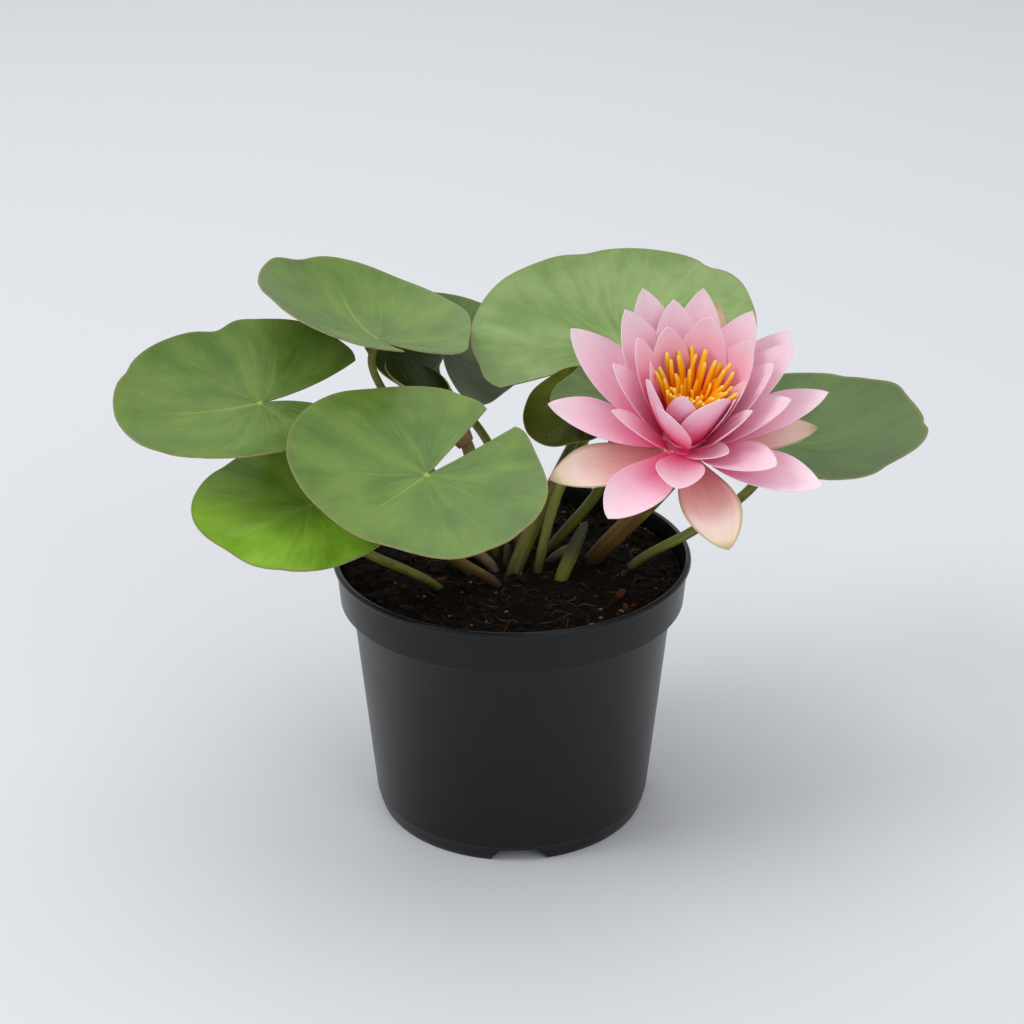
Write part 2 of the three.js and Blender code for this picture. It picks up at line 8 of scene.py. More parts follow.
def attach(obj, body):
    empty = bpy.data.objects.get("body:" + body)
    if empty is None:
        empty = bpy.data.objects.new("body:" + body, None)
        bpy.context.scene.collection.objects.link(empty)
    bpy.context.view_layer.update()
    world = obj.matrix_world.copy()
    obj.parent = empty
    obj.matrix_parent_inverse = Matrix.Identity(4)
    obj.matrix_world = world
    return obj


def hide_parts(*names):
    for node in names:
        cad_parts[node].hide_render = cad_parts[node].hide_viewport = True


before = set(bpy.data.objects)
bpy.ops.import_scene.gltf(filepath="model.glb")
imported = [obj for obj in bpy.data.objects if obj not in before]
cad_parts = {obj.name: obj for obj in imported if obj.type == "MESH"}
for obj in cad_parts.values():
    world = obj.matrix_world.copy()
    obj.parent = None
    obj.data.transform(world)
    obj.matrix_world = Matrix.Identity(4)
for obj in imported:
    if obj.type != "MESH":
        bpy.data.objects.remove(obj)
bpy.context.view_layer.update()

mm = 0.001
body = "root"
print("frame loaded")


# Making and finishing meshes.

def clearSelection():
    active = bpy.context.view_layer.objects.active
    if active and active.mode != "OBJECT":
        bpy.ops.object.mode_set(mode="OBJECT")
    bpy.ops.object.select_all(action="DESELECT")


def activate(piece):
    clearSelection()
    piece.select_set(True)
    bpy.context.view_layer.objects.active = piece


def applyModifiers(piece):
    activate(piece)
    for modifier in list(piece.modifiers):
        bpy.ops.object.modifier_apply(modifier=modifier.name)


def joinPieces(pieces, name):
    activate(pieces[0])
    for piece in pieces:
        piece.select_set(True)
    bpy.ops.object.join()
    joined = bpy.context.object
    joined.name = name
    joined.data.name = name
    return joined


def fixNormals(piece):
    activate(piece)
    bpy.ops.object.mode_set(mode="EDIT")
    bpy.ops.mesh.select_all(action="SELECT")
    bpy.ops.mesh.normals_make_consistent(inside=False)
    bpy.ops.object.mode_set(mode="OBJECT")


def smoothShade(piece, degrees=45):
    activate(piece)
    bpy.ops.object.shade_smooth_by_angle(angle=math.radians(degrees))


# A flat grid bent to a surface: across runs 0 to 1 along its rows, along runs 0 to 1 up them.
def bentGrid(name, columns, rows, pointAt):
    clearSelection()
    bpy.ops.mesh.primitive_grid_add(x_subdivisions=columns, y_subdivisions=rows, size=1, calc_uvs=True)
    piece = bpy.context.object
    piece.name = name
    piece.data.name = name
    for vertex in piece.data.vertices:
        across = vertex.co.x + 0.5
        along = vertex.co.y + 0.5
        vertex.co = pointAt(across, along)
    return piece


# Gives a sheet its thickness, with slots for its two faces and its rim.
def thicken(piece, thickness, looks):
    for look in looks:
        piece.data.materials.append(look)
    solidify = piece.modifiers.new("thickness", "SOLIDIFY")
    solidify.thickness = thickness
    solidify.offset = 0
    solidify.use_even_offset = False
    if len(looks) > 1:
        solidify.material_offset = 1
        solidify.material_offset_rim = len(looks) - 1
    applyModifiers(piece)


def mergePoints(piece, distance):
    activate(piece)
    bpy.ops.object.mode_set(mode="EDIT")
    bpy.ops.mesh.select_all(action="SELECT")
    bpy.ops.mesh.remove_doubles(threshold=distance)
    bpy.ops.object.mode_set(mode="OBJECT")


def place(piece, slotName, *nodes):
    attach(piece, body)
    if nodes:
        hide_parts(*nodes)


# A smooth line through points given in millimetres: a centripetal Catmull-Rom curve.
def smoothLine(points, count):
    points = [Vector(p) * mm for p in points]
    chain = [points[0] * 2 - points[1], *points, points[-1] * 2 - points[-2]]
    line = []
    spans = len(points) - 1
    for i in range(count + 1):
        reached = i / count * spans
        k = min(int(reached), spans - 1)
        p0, p1, p2, p3 = chain[k:k + 4]
        t0 = 0.0
        t1 = t0 + (p1 - p0).length ** 0.5
        t2 = t1 + (p2 - p1).length ** 0.5
        t3 = t2 + (p3 - p2).length ** 0.5
        t = t1 + (t2 - t1) * (reached - k)
        a1 = p0 * ((t1 - t) / (t1 - t0)) + p1 * ((t - t0) / (t1 - t0))
        a2 = p1 * ((t2 - t) / (t2 - t1)) + p2 * ((t - t1) / (t2 - t1))
        a3 = p2 * ((t3 - t) / (t3 - t2)) + p3 * ((t - t2) / (t3 - t2))
        b1 = a1 * ((t2 - t) / (t2 - t0)) + a2 * ((t - t0) / (t2 - t0))
        b2 = a2 * ((t3 - t) / (t3 - t1)) + a3 * ((t - t1) / (t3 - t1))
        line.append(b1 * ((t2 - t) / (t2 - t1)) + b2 * ((t - t1) / (t2 - t1)))
    return line


# A round stalk along a line: a curve with a bevel, its radius set at each point.
def stalkAlong(name, line, radiusAt, roundness=4):
    clearSelection()
    bpy.ops.curve.primitive_nurbs_path_add()
    piece = bpy.context.object
    piece.name = name
    curve = piece.data
    curve.splines.clear()
    spline = curve.splines.new("POLY")
    spline.points.add(len(line) - 1)
    for i, point in enumerate(line):
        spline.points[i].co = (*point, 1)
        spline.points[i].radius = radiusAt(i / (len(line) - 1))
    curve.bevel_depth = 1
    curve.bevel_resolution = roundness
    curve.use_fill_caps = True
    curve.twist_mode = "MINIMUM"
    bpy.ops.object.convert(target="MESH")
    piece = bpy.context.object
    piece.data.name = name
    mergePoints(piece, 1e-6)
    fixNormals(piece)
    smoothShade(piece, 60)
    return piece


# Materials and their nodes.

def newLook(name, **values):
    look = bpy.data.materials.new(name)
    look.use_nodes = True
    shader = look.node_tree.nodes["Principled BSDF"]
    for socket, value in values.items():
        shader.inputs[socket].default_value = value
    return look, shader


# Sets how glossy a skin is, how much light goes into it, how deep, and how far each color spreads.
def softSkin(shader, gloss, weight, depth, spread=None):
    shader.inputs["Specular IOR Level"].default_value = gloss
    shader.inputs["Subsurface Weight"].default_value = weight
    shader.inputs["Subsurface Scale"].default_value = depth
    if spread:
        shader.inputs["Subsurface Radius"].default_value = spread


def put(tree, kind, inputs=None, **values):
    node = tree.nodes.new(kind)
    for key, value in values.items():
        setattr(node, key, value)
    for key, value in (inputs or {}).items():
        if isinstance(value, bpy.types.NodeSocket):
            tree.links.new(value, node.inputs[key])
        else:
            node.inputs[key].default_value = value
    return node


def maths(tree, operation, first, second=0.0):
    node = put(tree, "ShaderNodeMath", {0: first, 1: second}, operation=operation)
    return node.outputs[0]


def rangeOf(tree, value, low, high, toLow=0.0, toHigh=1.0):
    node = put(
        tree, "ShaderNodeMapRange",
        {"Value": value, "From Min": low, "From Max": high, "To Min": toLow, "To Max": toHigh},
        interpolation_type="SMOOTHSTEP",
    )
    return node.outputs["Result"]


def blendOf(tree, share, first, second, how="MIX"):
    node = put(tree, "ShaderNodeMix", data_type="RGBA", blend_type=how)
    sockets = {0: share, 6: first, 7: second}
    for key, value in sockets.items():
        if isinstance(value, bpy.types.NodeSocket):
            tree.links.new(value, node.inputs[key])
        elif isinstance(value, (tuple, list)):
            node.inputs[key].default_value = (*value[:3], 1)
        else:
            node.inputs[key].default_value = value
    return node.outputs[2]


def rampOf(tree, value, stops):
    node = put(tree, "ShaderNodeValToRGB", {"Fac": value})
    elements = node.color_ramp.elements
    while len(elements) < len(stops):
        elements.new(0.5)
    for element, (position, color) in zip(elements, stops):
        element.position = position
        element.color = (*color, 1)
    return node.outputs["Color"]


def noiseOf(tree, vector, scale, detail=3.0, roughness=0.5, distortion=0.0):
    node = put(
        tree, "ShaderNodeTexNoise",
        {"Vector": vector, "Scale": scale, "Detail": detail, "Roughness": roughness,
         "Distortion": distortion},
    )
    return node.outputs["Fac"]


def stretched(tree, vector, scale):
    return put(tree, "ShaderNodeMapping", {"Vector": vector, "Scale": scale}).outputs["Vector"]


def coordsOf(tree, kind):
    return put(tree, "ShaderNodeTexCoord").outputs[kind]


def bumpOf(tree, shader, height, distance, strength=1.0):
    node = put(tree, "ShaderNodeBump", {"Height": height, "Distance": distance, "Strength": strength})
    tree.links.new(node.outputs["Normal"], shader.inputs["Normal"])


def sRgb(red, green, blue):
    def linear(value):
        value /= 255
        return value / 12.92 if value <= 0.04045 else ((value + 0.055) / 1.055) ** 2.4
    return (linear(red), linear(green), linear(blue))


# Leaves.

leafLooks = {
    "green": {"light": (112, 142, 58), "dark": (82, 114, 40),
              "vein": (150, 176, 84), "rough": 0.4, "gloss": 0.36},
    # A brighter, more saturated copy of the leaf green, with painted light, for the low left leaf that lies
    # in shade.
    "deep_painted_light": {"light": (150, 198, 60), "dark": (116, 166, 32),
             "vein": (130, 162, 50), "rough": 0.34, "gloss": 0.36},
    # A lighter copy of the leaf green, with painted sheen, for the back right leaf.
    "pale_painted_sheen": {"light": (144, 169, 104), "dark": (108, 140, 66),
             "vein": (158, 184, 104), "rough": 0.4, "gloss": 0.36},
    "blue": {"light": (94, 120, 56), "dark": (72, 100, 42),
             "vein": (122, 148, 80), "rough": 0.42, "gloss": 0.36},
    # The dark leaf's own bronze olive, darkened further with painted shade.
    "olive_painted_shade": {"light": (76, 82, 8), "dark": (46, 52, 2),
              "vein": (92, 92, 30), "rough": 0.36, "gloss": 0.08},
    "veins": 15,
    "speck": (196, 204, 150),
    "heart": (176, 190, 74),
    "rim": (142, 132, 78),
    "underLight": (126, 106, 56),
    "underDark": (90, 80, 36),
}


def tinted(tree, color, shade):
    grey = put(tree, "ShaderNodeCombineColor", {0: shade, 1: shade, 2: shade}).outputs[0]
    return blendOf(tree, 1.0, color, grey, "MULTIPLY")


# Lines that run out from the junction and fade between start and stop.
def veinLines(tree, around, along, count, width, start, stop):
    turn = maths(tree, "FRACT", maths(tree, "MULTIPLY", around, count))
    away = maths(tree, "ABSOLUTE", maths(tree, "SUBTRACT", turn, 0.5))
    line = rangeOf(tree, maths(tree, "MULTIPLY", away, along), width * 0.3, width, 1.0, 0.0)
    return maths(tree, "MULTIPLY", line, rangeOf(tree, along, start, stop, 1.0, 0.0))


def leafTop(kind):
    values = leafLooks[kind]
    look, shader = newLook("leafTop_" + kind, Roughness=values["rough"])
    softSkin(shader, values["gloss"], 0.06, 0.002)
    tree = look.node_tree
    uv = coordsOf(tree, "UV")
    split = put(tree, "ShaderNodeSeparateXYZ", {0: uv})
    around, along = split.outputs["X"], split.outputs["Y"]
    bands = noiseOf(tree, stretched(tree, uv, (11, 1.1, 1)), 1.0, 2, 0.5, 0.5)
    streaks = noiseOf(tree, stretched(tree, uv, (64, 3.2, 1)), 1.0, 4, 0.6, 0.5)
    patches = noiseOf(tree, coordsOf(tree, "Object"), 34, 5, 0.6)
    specks = noiseOf(tree, coordsOf(tree, "Object"), 640, 2, 0.5)
    wobble = maths(tree, "MULTIPLY", maths(tree, "SUBTRACT", bands, 0.5), 0.02)
    wobbled = maths(tree, "ADD", around, wobble)
    share = maths(tree, "ADD", maths(tree, "MULTIPLY", bands, 0.55), maths(tree, "MULTIPLY", patches, 0.45))
    green = blendOf(tree, rangeOf(tree, share, 0.36, 0.64), sRgb(*values["dark"]), sRgb(*values["light"]))
    green = tinted(tree, green, rangeOf(tree, streaks, 0.3, 0.72, 0.93, 1.06))
    main = veinLines(tree, wobbled, along, leafLooks["veins"], 0.016, 0.45, 0.95)
    forks = veinLines(tree, wobbled, along, leafLooks["veins"] * 2, 0.02, 0.75, 0.99)
    forks = maths(tree, "MULTIPLY", forks, rangeOf(tree, along, 0.4, 0.55))
    inner = rangeOf(tree, along, 0.08, 0.3)
    veins = maths(tree, "MAXIMUM", maths(tree, "MULTIPLY", main, 0.17), maths(tree, "MULTIPLY", forks, 0.09))
    veins = maths(tree, "MULTIPLY", veins, inner)
    middle = maths(tree, "ABSOLUTE", maths(tree, "SUBTRACT", around, 0.5))
    midrib = rangeOf(tree, maths(tree, "MULTIPLY", middle, along), 0.0006, 0.0022, 1.0, 0.0)
    midrib = maths(tree, "MULTIPLY", midrib, rangeOf(tree, along, 0.3, 0.85, 0.5, 0.0))
    veins = maths(tree, "MAXIMUM", veins, midrib)
    green = blendOf(tree, veins, green, sRgb(*values["vein"]))
    heart = rangeOf(tree, along, 0.006, 0.04, 0.85, 0.0)
    green = blendOf(tree, heart, green, sRgb(*leafLooks["heart"]))
    green = blendOf(tree, rangeOf(tree, along, 0.975, 0.998, 0.0, 0.55), green, sRgb(*leafLooks["rim"]))
    green = blendOf(tree, rangeOf(tree, specks, 0.72, 0.78, 0.0, 0.35), green,
                    sRgb(*leafLooks["speck"]))
    tree.links.new(green, shader.inputs["Base Color"])
    rough = rangeOf(tree, share, 0.35, 0.65, values["rough"] - 0.06, values["rough"] + 0.08)
    tree.links.new(rough, shader.inputs["Roughness"])
    height = maths(tree, "ADD", maths(tree, "MULTIPLY", streaks, 0.35), maths(tree, "MULTIPLY", bands, 0.9))
    height = maths(tree, "ADD", height, maths(tree, "MULTIPLY", patches, 0.5))
    height = maths(tree, "SUBTRACT", height, maths(tree, "MULTIPLY", veins, 0.8))
    bumpOf(tree, shader, height, 0.0012, 0.5)
    return look


def leafUnder():
    look, shader = newLook("leafUnder", Roughness=0.5)
    tree = look.node_tree
    uv = coordsOf(tree, "UV")
    streaks = noiseOf(tree, stretched(tree, uv, (60, 3, 1)), 1.0, 4, 0.6, 0.3)
    patches = noiseOf(tree, coordsOf(tree, "Object"), 60, 4, 0.6)
    share = maths(tree, "ADD", maths(tree, "MULTIPLY", streaks, 0.5), maths(tree, "MULTIPLY", patches, 0.5))
    color = blendOf(tree, rangeOf(tree, share, 0.35, 0.66), sRgb(*leafLooks["underDark"]),
                    sRgb(*leafLooks["underLight"]))
    tree.links.new(color, shader.inputs["Base Color"])
    bumpOf(tree, shader, streaks, 0.0008, 0.6)
    return look


def plainLook(name, color, roughness, scale=300, spread=0.25):
    look, shader = newLook(name, Roughness=roughness)
    tree = look.node_tree
    grain = noiseOf(tree, coordsOf(tree, "Object"), scale, 4, 0.6)
    dark = tuple(c * (1 - spread) for c in sRgb(*color))
    light = tuple(min(1, c * (1 + spread)) for c in sRgb(*color))
    tree.links.new(blendOf(tree, rangeOf(tree, grain, 0.3, 0.7), dark, light), shader.inputs["Base Color"])
    bumpOf(tree, shader, grain, 0.0004, 0.4)
    return look


leafTops = {kind: leafTop(kind) for kind in ("green", "deep_painted_light", "pale_painted_sheen", "blue", "olive_painted_shade")}
underLook = leafUnder()
rimLook = plainLook("leafRim", leafLooks["rim"], 0.5)

# Each leaf: its junction with the stalk, the compass turn of its tip, its lean to the front and to the
# right, its outline as waves and local bumps, its bowl, slope and saddle, and its cleft.
bladeThickness = 0.9
blades = {
    "around": 112, "out": 34, "smallRadius": 40, "smallShare": 0.6, "fullness": 0.75,
    "unevenEdge": 0.01, "ripple": 1.6,
}
leaves = [
    {"name": "leaf_left", "junction": (-127.5, -15, 237), "turn": 200, "lean": (22, 0), "radius": 58.5,
     "waves": ((0.12, 0.03), (0.12, 0.05), (0.01, -0.03)), "bowl": 0.2, "slope": (0.11, -3),
     "saddle": (-0.14, 0),
     "bumps": ((-92, 0.03, 9), (-76, -0.03, 8), (-24, -0.02, 4), (33, -0.012, 4), (50, -0.012, 4)),
     "cleft": (3, 32, 17), "look": "green"},
    {"name": "leaf_front", "junction": (-41, -75, 223.5), "turn": 234, "lean": (14, 3), "radius": 64.5,
     "waves": ((0.04, -0.03), (-0.06, 0.06), (-0.04, -0.02)), "bowl": 0.12, "slope": (0, 0),
     "saddle": (-0.06, 21),
     "bumps": ((26, -0.05, 14), (47, 0.02, 9), (63, -0.012, 4), (78, -0.012, 4), (-156, -0.012, 4)),
     "cleft": (10, 13, 9), "look": "green"},
    {"name": "leaf_low_left", "junction": (-100, -55, 198), "turn": 206, "lean": (15.5, -2.5), "radius": 53,
     "waves": ((0.06, -0.08), (0.01, -0.01), (0.01, -0.03)), "bowl": 0.03, "slope": (-0.01, 0),
     "saddle": (0, 0), "bumps": ((12, -0.07, 22), (-60, -0.015, 5), (52, -0.01, 4)),
     "cleft": (3, 20, 20), "look": "deep_painted_light"},
    {"name": "leaf_back_left", "junction": (-71.5, 45, 250), "turn": 113, "lean": (-14.5, 12.5),
     "radius": 71, "waves": ((0.16, 0.1), (0.14, -0.12), (0.02, -0.01)), "bowl": 0.2, "slope": (0.1, -12),
     "saddle": (0.06, 69), "bumps": ((14, -0.06, 10), (-62, 0.05, 12), (106, -0.012, 5)),
     "cleft": (3, 11, 21), "look": "green"},
    {"name": "leaf_back_right", "junction": (60.5, 80, 233.5), "turn": 52, "lean": (17, 7), "radius": 73.5,
     "waves": ((0.04, 0.14), (0.13, -0.06), (0.04, -0.02)), "bowl": 0.08, "slope": (0.08, -17),
     "saddle": (-0.08, -15), "bumps": ((57, -0.03, 9), (-6, 0.04, 10), (4, -0.035, 4), (146, -0.02, 4)),
     "cleft": (3, 19, 36), "look": "pale_painted_sheen"},
    {"name": "leaf_right", "junction": (138.5, 15, 204), "turn": 4, "lean": (-2.5, 13.5), "radius": 64,
     "waves": ((0.12, 0.01), (0.04, 0.01), (-0.07, -0.06)), "bowl": 0.24, "slope": (0.11, 31),
     "saddle": (-0.11, -84),
     "bumps": ((-47, -0.1, 10), (26, 0.05, 12), (-142, -0.1, 13), (-14, -0.02, 4), (52, -0.015, 5),
               (-70, -0.015, 4)),
     "cleft": (3, 35, 18), "look": "blue"},
    {"name": "leaf_rear", "junction": (-38.5, 95, 225), "turn": 92, "lean": (11, 18), "radius": 53,
     "waves": ((0.03, -0.04), (0.1, -0.08), (-0.07, -0.02)), "bowl": 0.01, "slope": (0, 0),
     "saddle": (0.07, 2), "bumps": (), "cleft": (3, 15, 16.5), "look": "blue"},
    {"name": "leaf_shaded", "junction": (36, 22, 220), "turn": 150, "lean": (37, -26.5), "radius": 28,
     "waves": ((0.1, -0.07), (0.13, 0.08), (0, 0)), "bowl": -0.02, "slope": (0, 0),
     "saddle": (0, 0), "bumps": (), "cleft": (16, 25, 34), "look": "olive_painted_shade"},
    {"name": "leaf_young", "junction": (48, 12, 230), "turn": 190, "lean": (30, -6), "radius": 25.5,
     "waves": ((-0.01, -0.04), (-0.04, -0.04), (0.17, 0.03)), "bowl": 0.05, "slope": (0, 0),
     "saddle": (0, 0), "bumps": (), "cleft": (3, 20, 20), "look": "blue"},
]
leafByName = {leaf["name"]: leaf for leaf in leaves}


def leafAxes(leaf):
    front, right = (math.radians(a) for a in leaf["lean"])
    turn = math.radians(leaf["turn"])
    up = Vector((math.sin(right), -math.sin(front) * math.cos(right), math.cos(front) * math.cos(right)))
    tip = Vector((math.cos(turn), math.sin(turn), 0))
    tip = (tip - up * tip.dot(up)).normalized()
    return tip, up.cross(tip), up


# A point of the blade: s runs from the junction to the margin and t round it, -1 to 1.
def bladePoint(leaf, s, t):
    root, left, right = (math.radians(a) for a in leaf["cleft"])
    gap = left if t > 0 else right
    phi = t * (math.pi - (root + (gap - root) * s))
    full = t * (math.pi - gap)
    fromEdge = 1 - abs(t)
    rounding = 1 - 0.04 * (1 - fromEdge / 0.05) ** 2 if fromEdge < 0.05 else 1
    rim = 1
    for i, (c, d) in enumerate(leaf["waves"]):
        rim += c * math.cos((i + 1) * full) + d * math.sin((i + 1) * full)
    for turn, height, spread in leaf["bumps"]:
        rim += height * math.exp(-(((math.degrees(full) - turn) / spread) ** 2))
    uneven = noise.noise(Vector((3 * math.cos(full), 3 * math.sin(full), leaf["turn"])))
    rho = rim * s * rounding * (0.995 + blades["unevenEdge"] * uneven * s)
    r = leaf["radius"] * rho
    slope, saddle = leaf["slope"], leaf["saddle"]
    shape = leaf["bowl"] + slope[0] * math.cos(phi - math.radians(slope[1]))
    shape += saddle[0] * math.cos(2 * (phi - math.radians(saddle[1])))
    height = leaf["radius"] * rho * rho * shape
    ripple = noise.noise(Vector((2.2 * math.cos(phi), 2.2 * math.sin(phi), leaf["turn"] + 1.4 * s)))
    height += blades["ripple"] * ripple * s * s
    tip, side, up = leafAxes(leaf)
    point = Vector(leaf["junction"]) + tip * (r * math.cos(phi)) + side * (r * math.sin(phi)) + up * height
    return point * mm


for leaf in leaves:
    fineness = 1.0 if leaf["radius"] > blades["smallRadius"] else blades["smallShare"]
    blade = bentGrid(
        leaf["name"] + "_blade", round(blades["around"] * fineness), round(blades["out"] * fineness),
        lambda across, along, leaf=leaf: bladePoint(leaf, along, 1 - across * 2),
    )
    mergePoints(blade, 1e-5)
    thicken(blade, bladeThickness * blades["fullness"] * mm, [leafTops[leaf["look"]], underLook, rimLook])
    smoothShade(blade, 50)
    place(blade, "leaf_dark" if leaf["look"] == "olive_painted_shade" else "leaves", leaf["name"])
print("leaves made")


# Stalks.

stalkLooks = {
    "green": {"first": (126, 134, 50), "second": (90, 98, 28), "turn": 0.3},
    "brown": {"first": (108, 84, 38), "second": (104, 110, 26), "turn": 0.62},
    "flower": {"first": (112, 86, 42), "second": (120, 126, 38), "turn": 0.1},
}
stalkShapes = {
    "steps": 44, "footColor": (46, 32, 18), "flare": 0.22, "flareFrom": 0.955, "flareLength": 0.045,
    "uneven": 0.04, "straightTop": 14, "shootSteps": 30,
}


def stalkLook(kind):
    values = stalkLooks[kind]
    look, shader = newLook("stalk_" + kind, Roughness=0.4)
    softSkin(shader, 0.35, 0.05, 0.002)
    tree = look.node_tree
    uv = coordsOf(tree, "UV")
    split = put(tree, "ShaderNodeSeparateXYZ", {0: uv})
    streaks = noiseOf(tree, stretched(tree, uv, (5, 22, 1)), 1.0, 4, 0.6, 0.4)
    patches = noiseOf(tree, coordsOf(tree, "Object"), 70, 4, 0.65)
    turned = maths(tree, "FRACT", maths(tree, "ADD", split.outputs["Y"], values["turn"]))
    side = maths(tree, "ABSOLUTE", maths(tree, "SUBTRACT", turned, 0.5))
    share = maths(tree, "ADD", side, maths(tree, "MULTIPLY", maths(tree, "SUBTRACT", patches, 0.5), 0.7))
    color = blendOf(tree, rangeOf(tree, share, 0.16, 0.34), sRgb(*values["first"]), sRgb(*values["second"]))
    color = tinted(tree, color, rangeOf(tree, streaks, 0.3, 0.7, 0.74, 1.18))
    height = put(tree, "ShaderNodeSeparateXYZ", {0: coordsOf(tree, "Object")}).outputs["Z"]
    nearSoil = rangeOf(tree, height, 0.139, 0.158, 0.8, 0.0)
    color = blendOf(tree, nearSoil, color, sRgb(*stalkShapes["footColor"]))
    tree.links.new(color, shader.inputs["Base Color"])
    bumpOf(tree, shader, maths(tree, "ADD", streaks, maths(tree, "MULTIPLY", patches, 0.4)), 0.0007, 0.5)
    return look


stalkMaterials = {kind: stalkLook(kind) for kind in stalkLooks}
stalkFoot = 120
soilMiddle = 140


def stalkPoints(root, middle, leaf):
    lead = Vector((root[0] - middle[0][0], root[1] - middle[0][1], 0)).normalized() * 3
    up = leafAxes(leaf)[2]
    joint = Vector(leaf["junction"])
    return [
        (root[0] + lead.x, root[1] + lead.y, stalkFoot), (*root, soilMiddle - 2), *middle,
        joint - up * stalkShapes["straightTop"], joint - up * (bladeThickness / 2 - 0.05),
    ]


stalks = [
    {"name": "stalk_left", "radius": 2.4, "root": (-22, -12), "look": "green", "leaf": "leaf_left",
     "middle": [(-46, -8, 156), (-92, 5, 190), (-118, 4, 214)]},
    {"name": "stalk_front", "radius": 2.6, "root": (-7, -26), "look": "brown", "leaf": "leaf_front",
     "middle": [(-28, -37, 160), (-38, -58, 190)]},
    {"name": "stalk_low_left", "radius": 2.5, "root": (-36, -32), "look": "green", "leaf": "leaf_low_left",
     "middle": [(-73, -45, 167)]},
    {"name": "stalk_back_left", "radius": 2.2, "root": (-20, 7), "look": "green", "leaf": "leaf_back_left",
     "middle": [(-50, 28, 195)]},
    {"name": "stalk_back_right", "radius": 4.2, "root": (0, -15), "look": "brown", "leaf": "leaf_back_right",
     "middle": [(28, 28, 184)]},
    {"name": "stalk_right", "radius": 2.6, "root": (62.5, -4.5), "look": "green", "leaf": "leaf_right",
     "middle": [(97.5, -2, 161), (124, 5, 179)]},
    {"name": "stalk_rear", "radius": 2.4, "root": (4, 17), "look": "green", "leaf": "leaf_rear",
     "middle": [(-12, 52, 185)]},
    {"name": "stalk_shaded", "radius": 2.6, "root": (13, -12), "look": "green", "leaf": "leaf_shaded",
     "middle": [(24, 0, 180)]},
    {"name": "stalk_young", "radius": 2.7, "root": (18, 11), "look": "brown", "leaf": "leaf_young",
     "middle": [(48, 17, 178), (53, 14, 212)]},
]

for i, stalk in enumerate(stalks):
    line = smoothLine(stalkPoints(stalk["root"], stalk["middle"], leafByName[stalk["leaf"]]),
                      stalkShapes["steps"])

    def radiusAt(u, stalk=stalk, i=i):
        top = max(0, (u - stalkShapes["flareFrom"]) / stalkShapes["flareLength"])
        flare = stalkShapes["flare"] * top ** 2
        uneven = stalkShapes["uneven"] * noise.noise(Vector((u * 9, i * 3.1, 0)))
        return stalk["radius"] * mm * (1 + 0.1 * (1 - u) + flare + uneven - 0.06 * u)

    piece = stalkAlong(stalk["name"] + "_tube", line, radiusAt)
    piece.data.materials.append(stalkMaterials[stalk["look"]])
    place(piece, "stalks_green" if stalk["look"] == "green" else "stalks_brown", stalk["name"])

bloomBase = (86.5, -30, 219.6)
bloomTilt = 28
bloomAxis = Vector((0, -math.sin(math.radians(bloomTilt)), math.cos(math.radians(bloomTilt))))
flowerStalk = {"radius": 4.7, "root": (42, 3), "foot": (37, 5), "middle": (75, -11, 184)}
stalkTop = Vector(bloomBase)
line = smoothLine(
    [(*flowerStalk["foot"], stalkFoot), (*flowerStalk["root"], soilMiddle - 2), flowerStalk["middle"],
     stalkTop - bloomAxis * stalkShapes["straightTop"], stalkTop], stalkShapes["steps"])


def flowerStalkRadius(u):
    uneven = 0.03 * noise.noise(Vector((u * 8, 5, 0)))
    flare = 0.3 * max(0, (u - 0.94) / 0.06) ** 2
    return flowerStalk["radius"] * mm * (1.05 - 0.06 * u + uneven + flare)


piece = stalkAlong("flower_stalk_tube", line, flowerStalkRadius, 5)
piece.data.materials.append(stalkMaterials["flower"])
place(piece, "stalks_brown", "flower_stalk")
print("stalks made")


# Rolled young leaf.

funnel = {
    "foot": (-24, 13, 203), "head": (-49.5, 27, 235.5), "footRadius": 3.2, "headRadius": 10.5, "lap": 1.7,
    "turns": 1.1, "seam": 300, "slant": 0.38, "slantTurn": 140, "thickness": 0.7, "around": 72, "up": 26,
    "stalkRadius": 3.5, "stalkSteps": 36,
    "path": [(-8, 3, 120), (-9, 4.5, 138), (-17, 9, 172), (-23.4, 12.6, 202), (-25.6, 14, 205)],
    # The inside colour is a dark green with painted shade for the hollow of the roll; the outside colour is
    # the roll's own brownish skin.
    "inside": (52, 72, 20), "outside": (128, 92, 62),
}


# A point of the rolled sheet: across runs round it and along from its foot to its slanting mouth.
def funnelPoint(across, along):
    foot = Vector(funnel["foot"])
    axis = Vector(funnel["head"]) - foot
    turn = math.radians(funnel["seam"]) + across * funnel["turns"] * 2 * math.pi
    spread = funnel["footRadius"] + (funnel["headRadius"] - funnel["footRadius"]) * along ** 0.8
    r = spread + funnel["lap"] * across
    rise = along * axis.length * (1 + funnel["slant"] * math.cos(turn - math.radians(funnel["slantTurn"])))
    rise += 0.5 * along * noise.noise(Vector((2 * math.cos(turn), 2 * math.sin(turn), 7)))
    point = Vector((r * math.cos(turn), r * math.sin(turn), rise))
    return (Vector((0, 0, 1)).rotation_difference(axis) @ point + foot) * mm


def funnelLook(name, color):
    look, shader = newLook(name, Roughness=0.45)
    tree = look.node_tree
    streaks = noiseOf(tree, stretched(tree, coordsOf(tree, "UV"), (40, 2.5, 1)), 1.0, 4, 0.6, 0.4)
    dark = tuple(c * 0.6 for c in sRgb(*color))
    light = tuple(c * 1.25 for c in sRgb(*color))
    tree.links.new(blendOf(tree, rangeOf(tree, streaks, 0.3, 0.7), dark, light), shader.inputs["Base Color"])
    bumpOf(tree, shader, streaks, 0.0007, 0.5)
    return look


roll = bentGrid("roll", funnel["around"], funnel["up"], funnelPoint)
rollOutside = funnelLook("rollOutside", funnel["outside"])
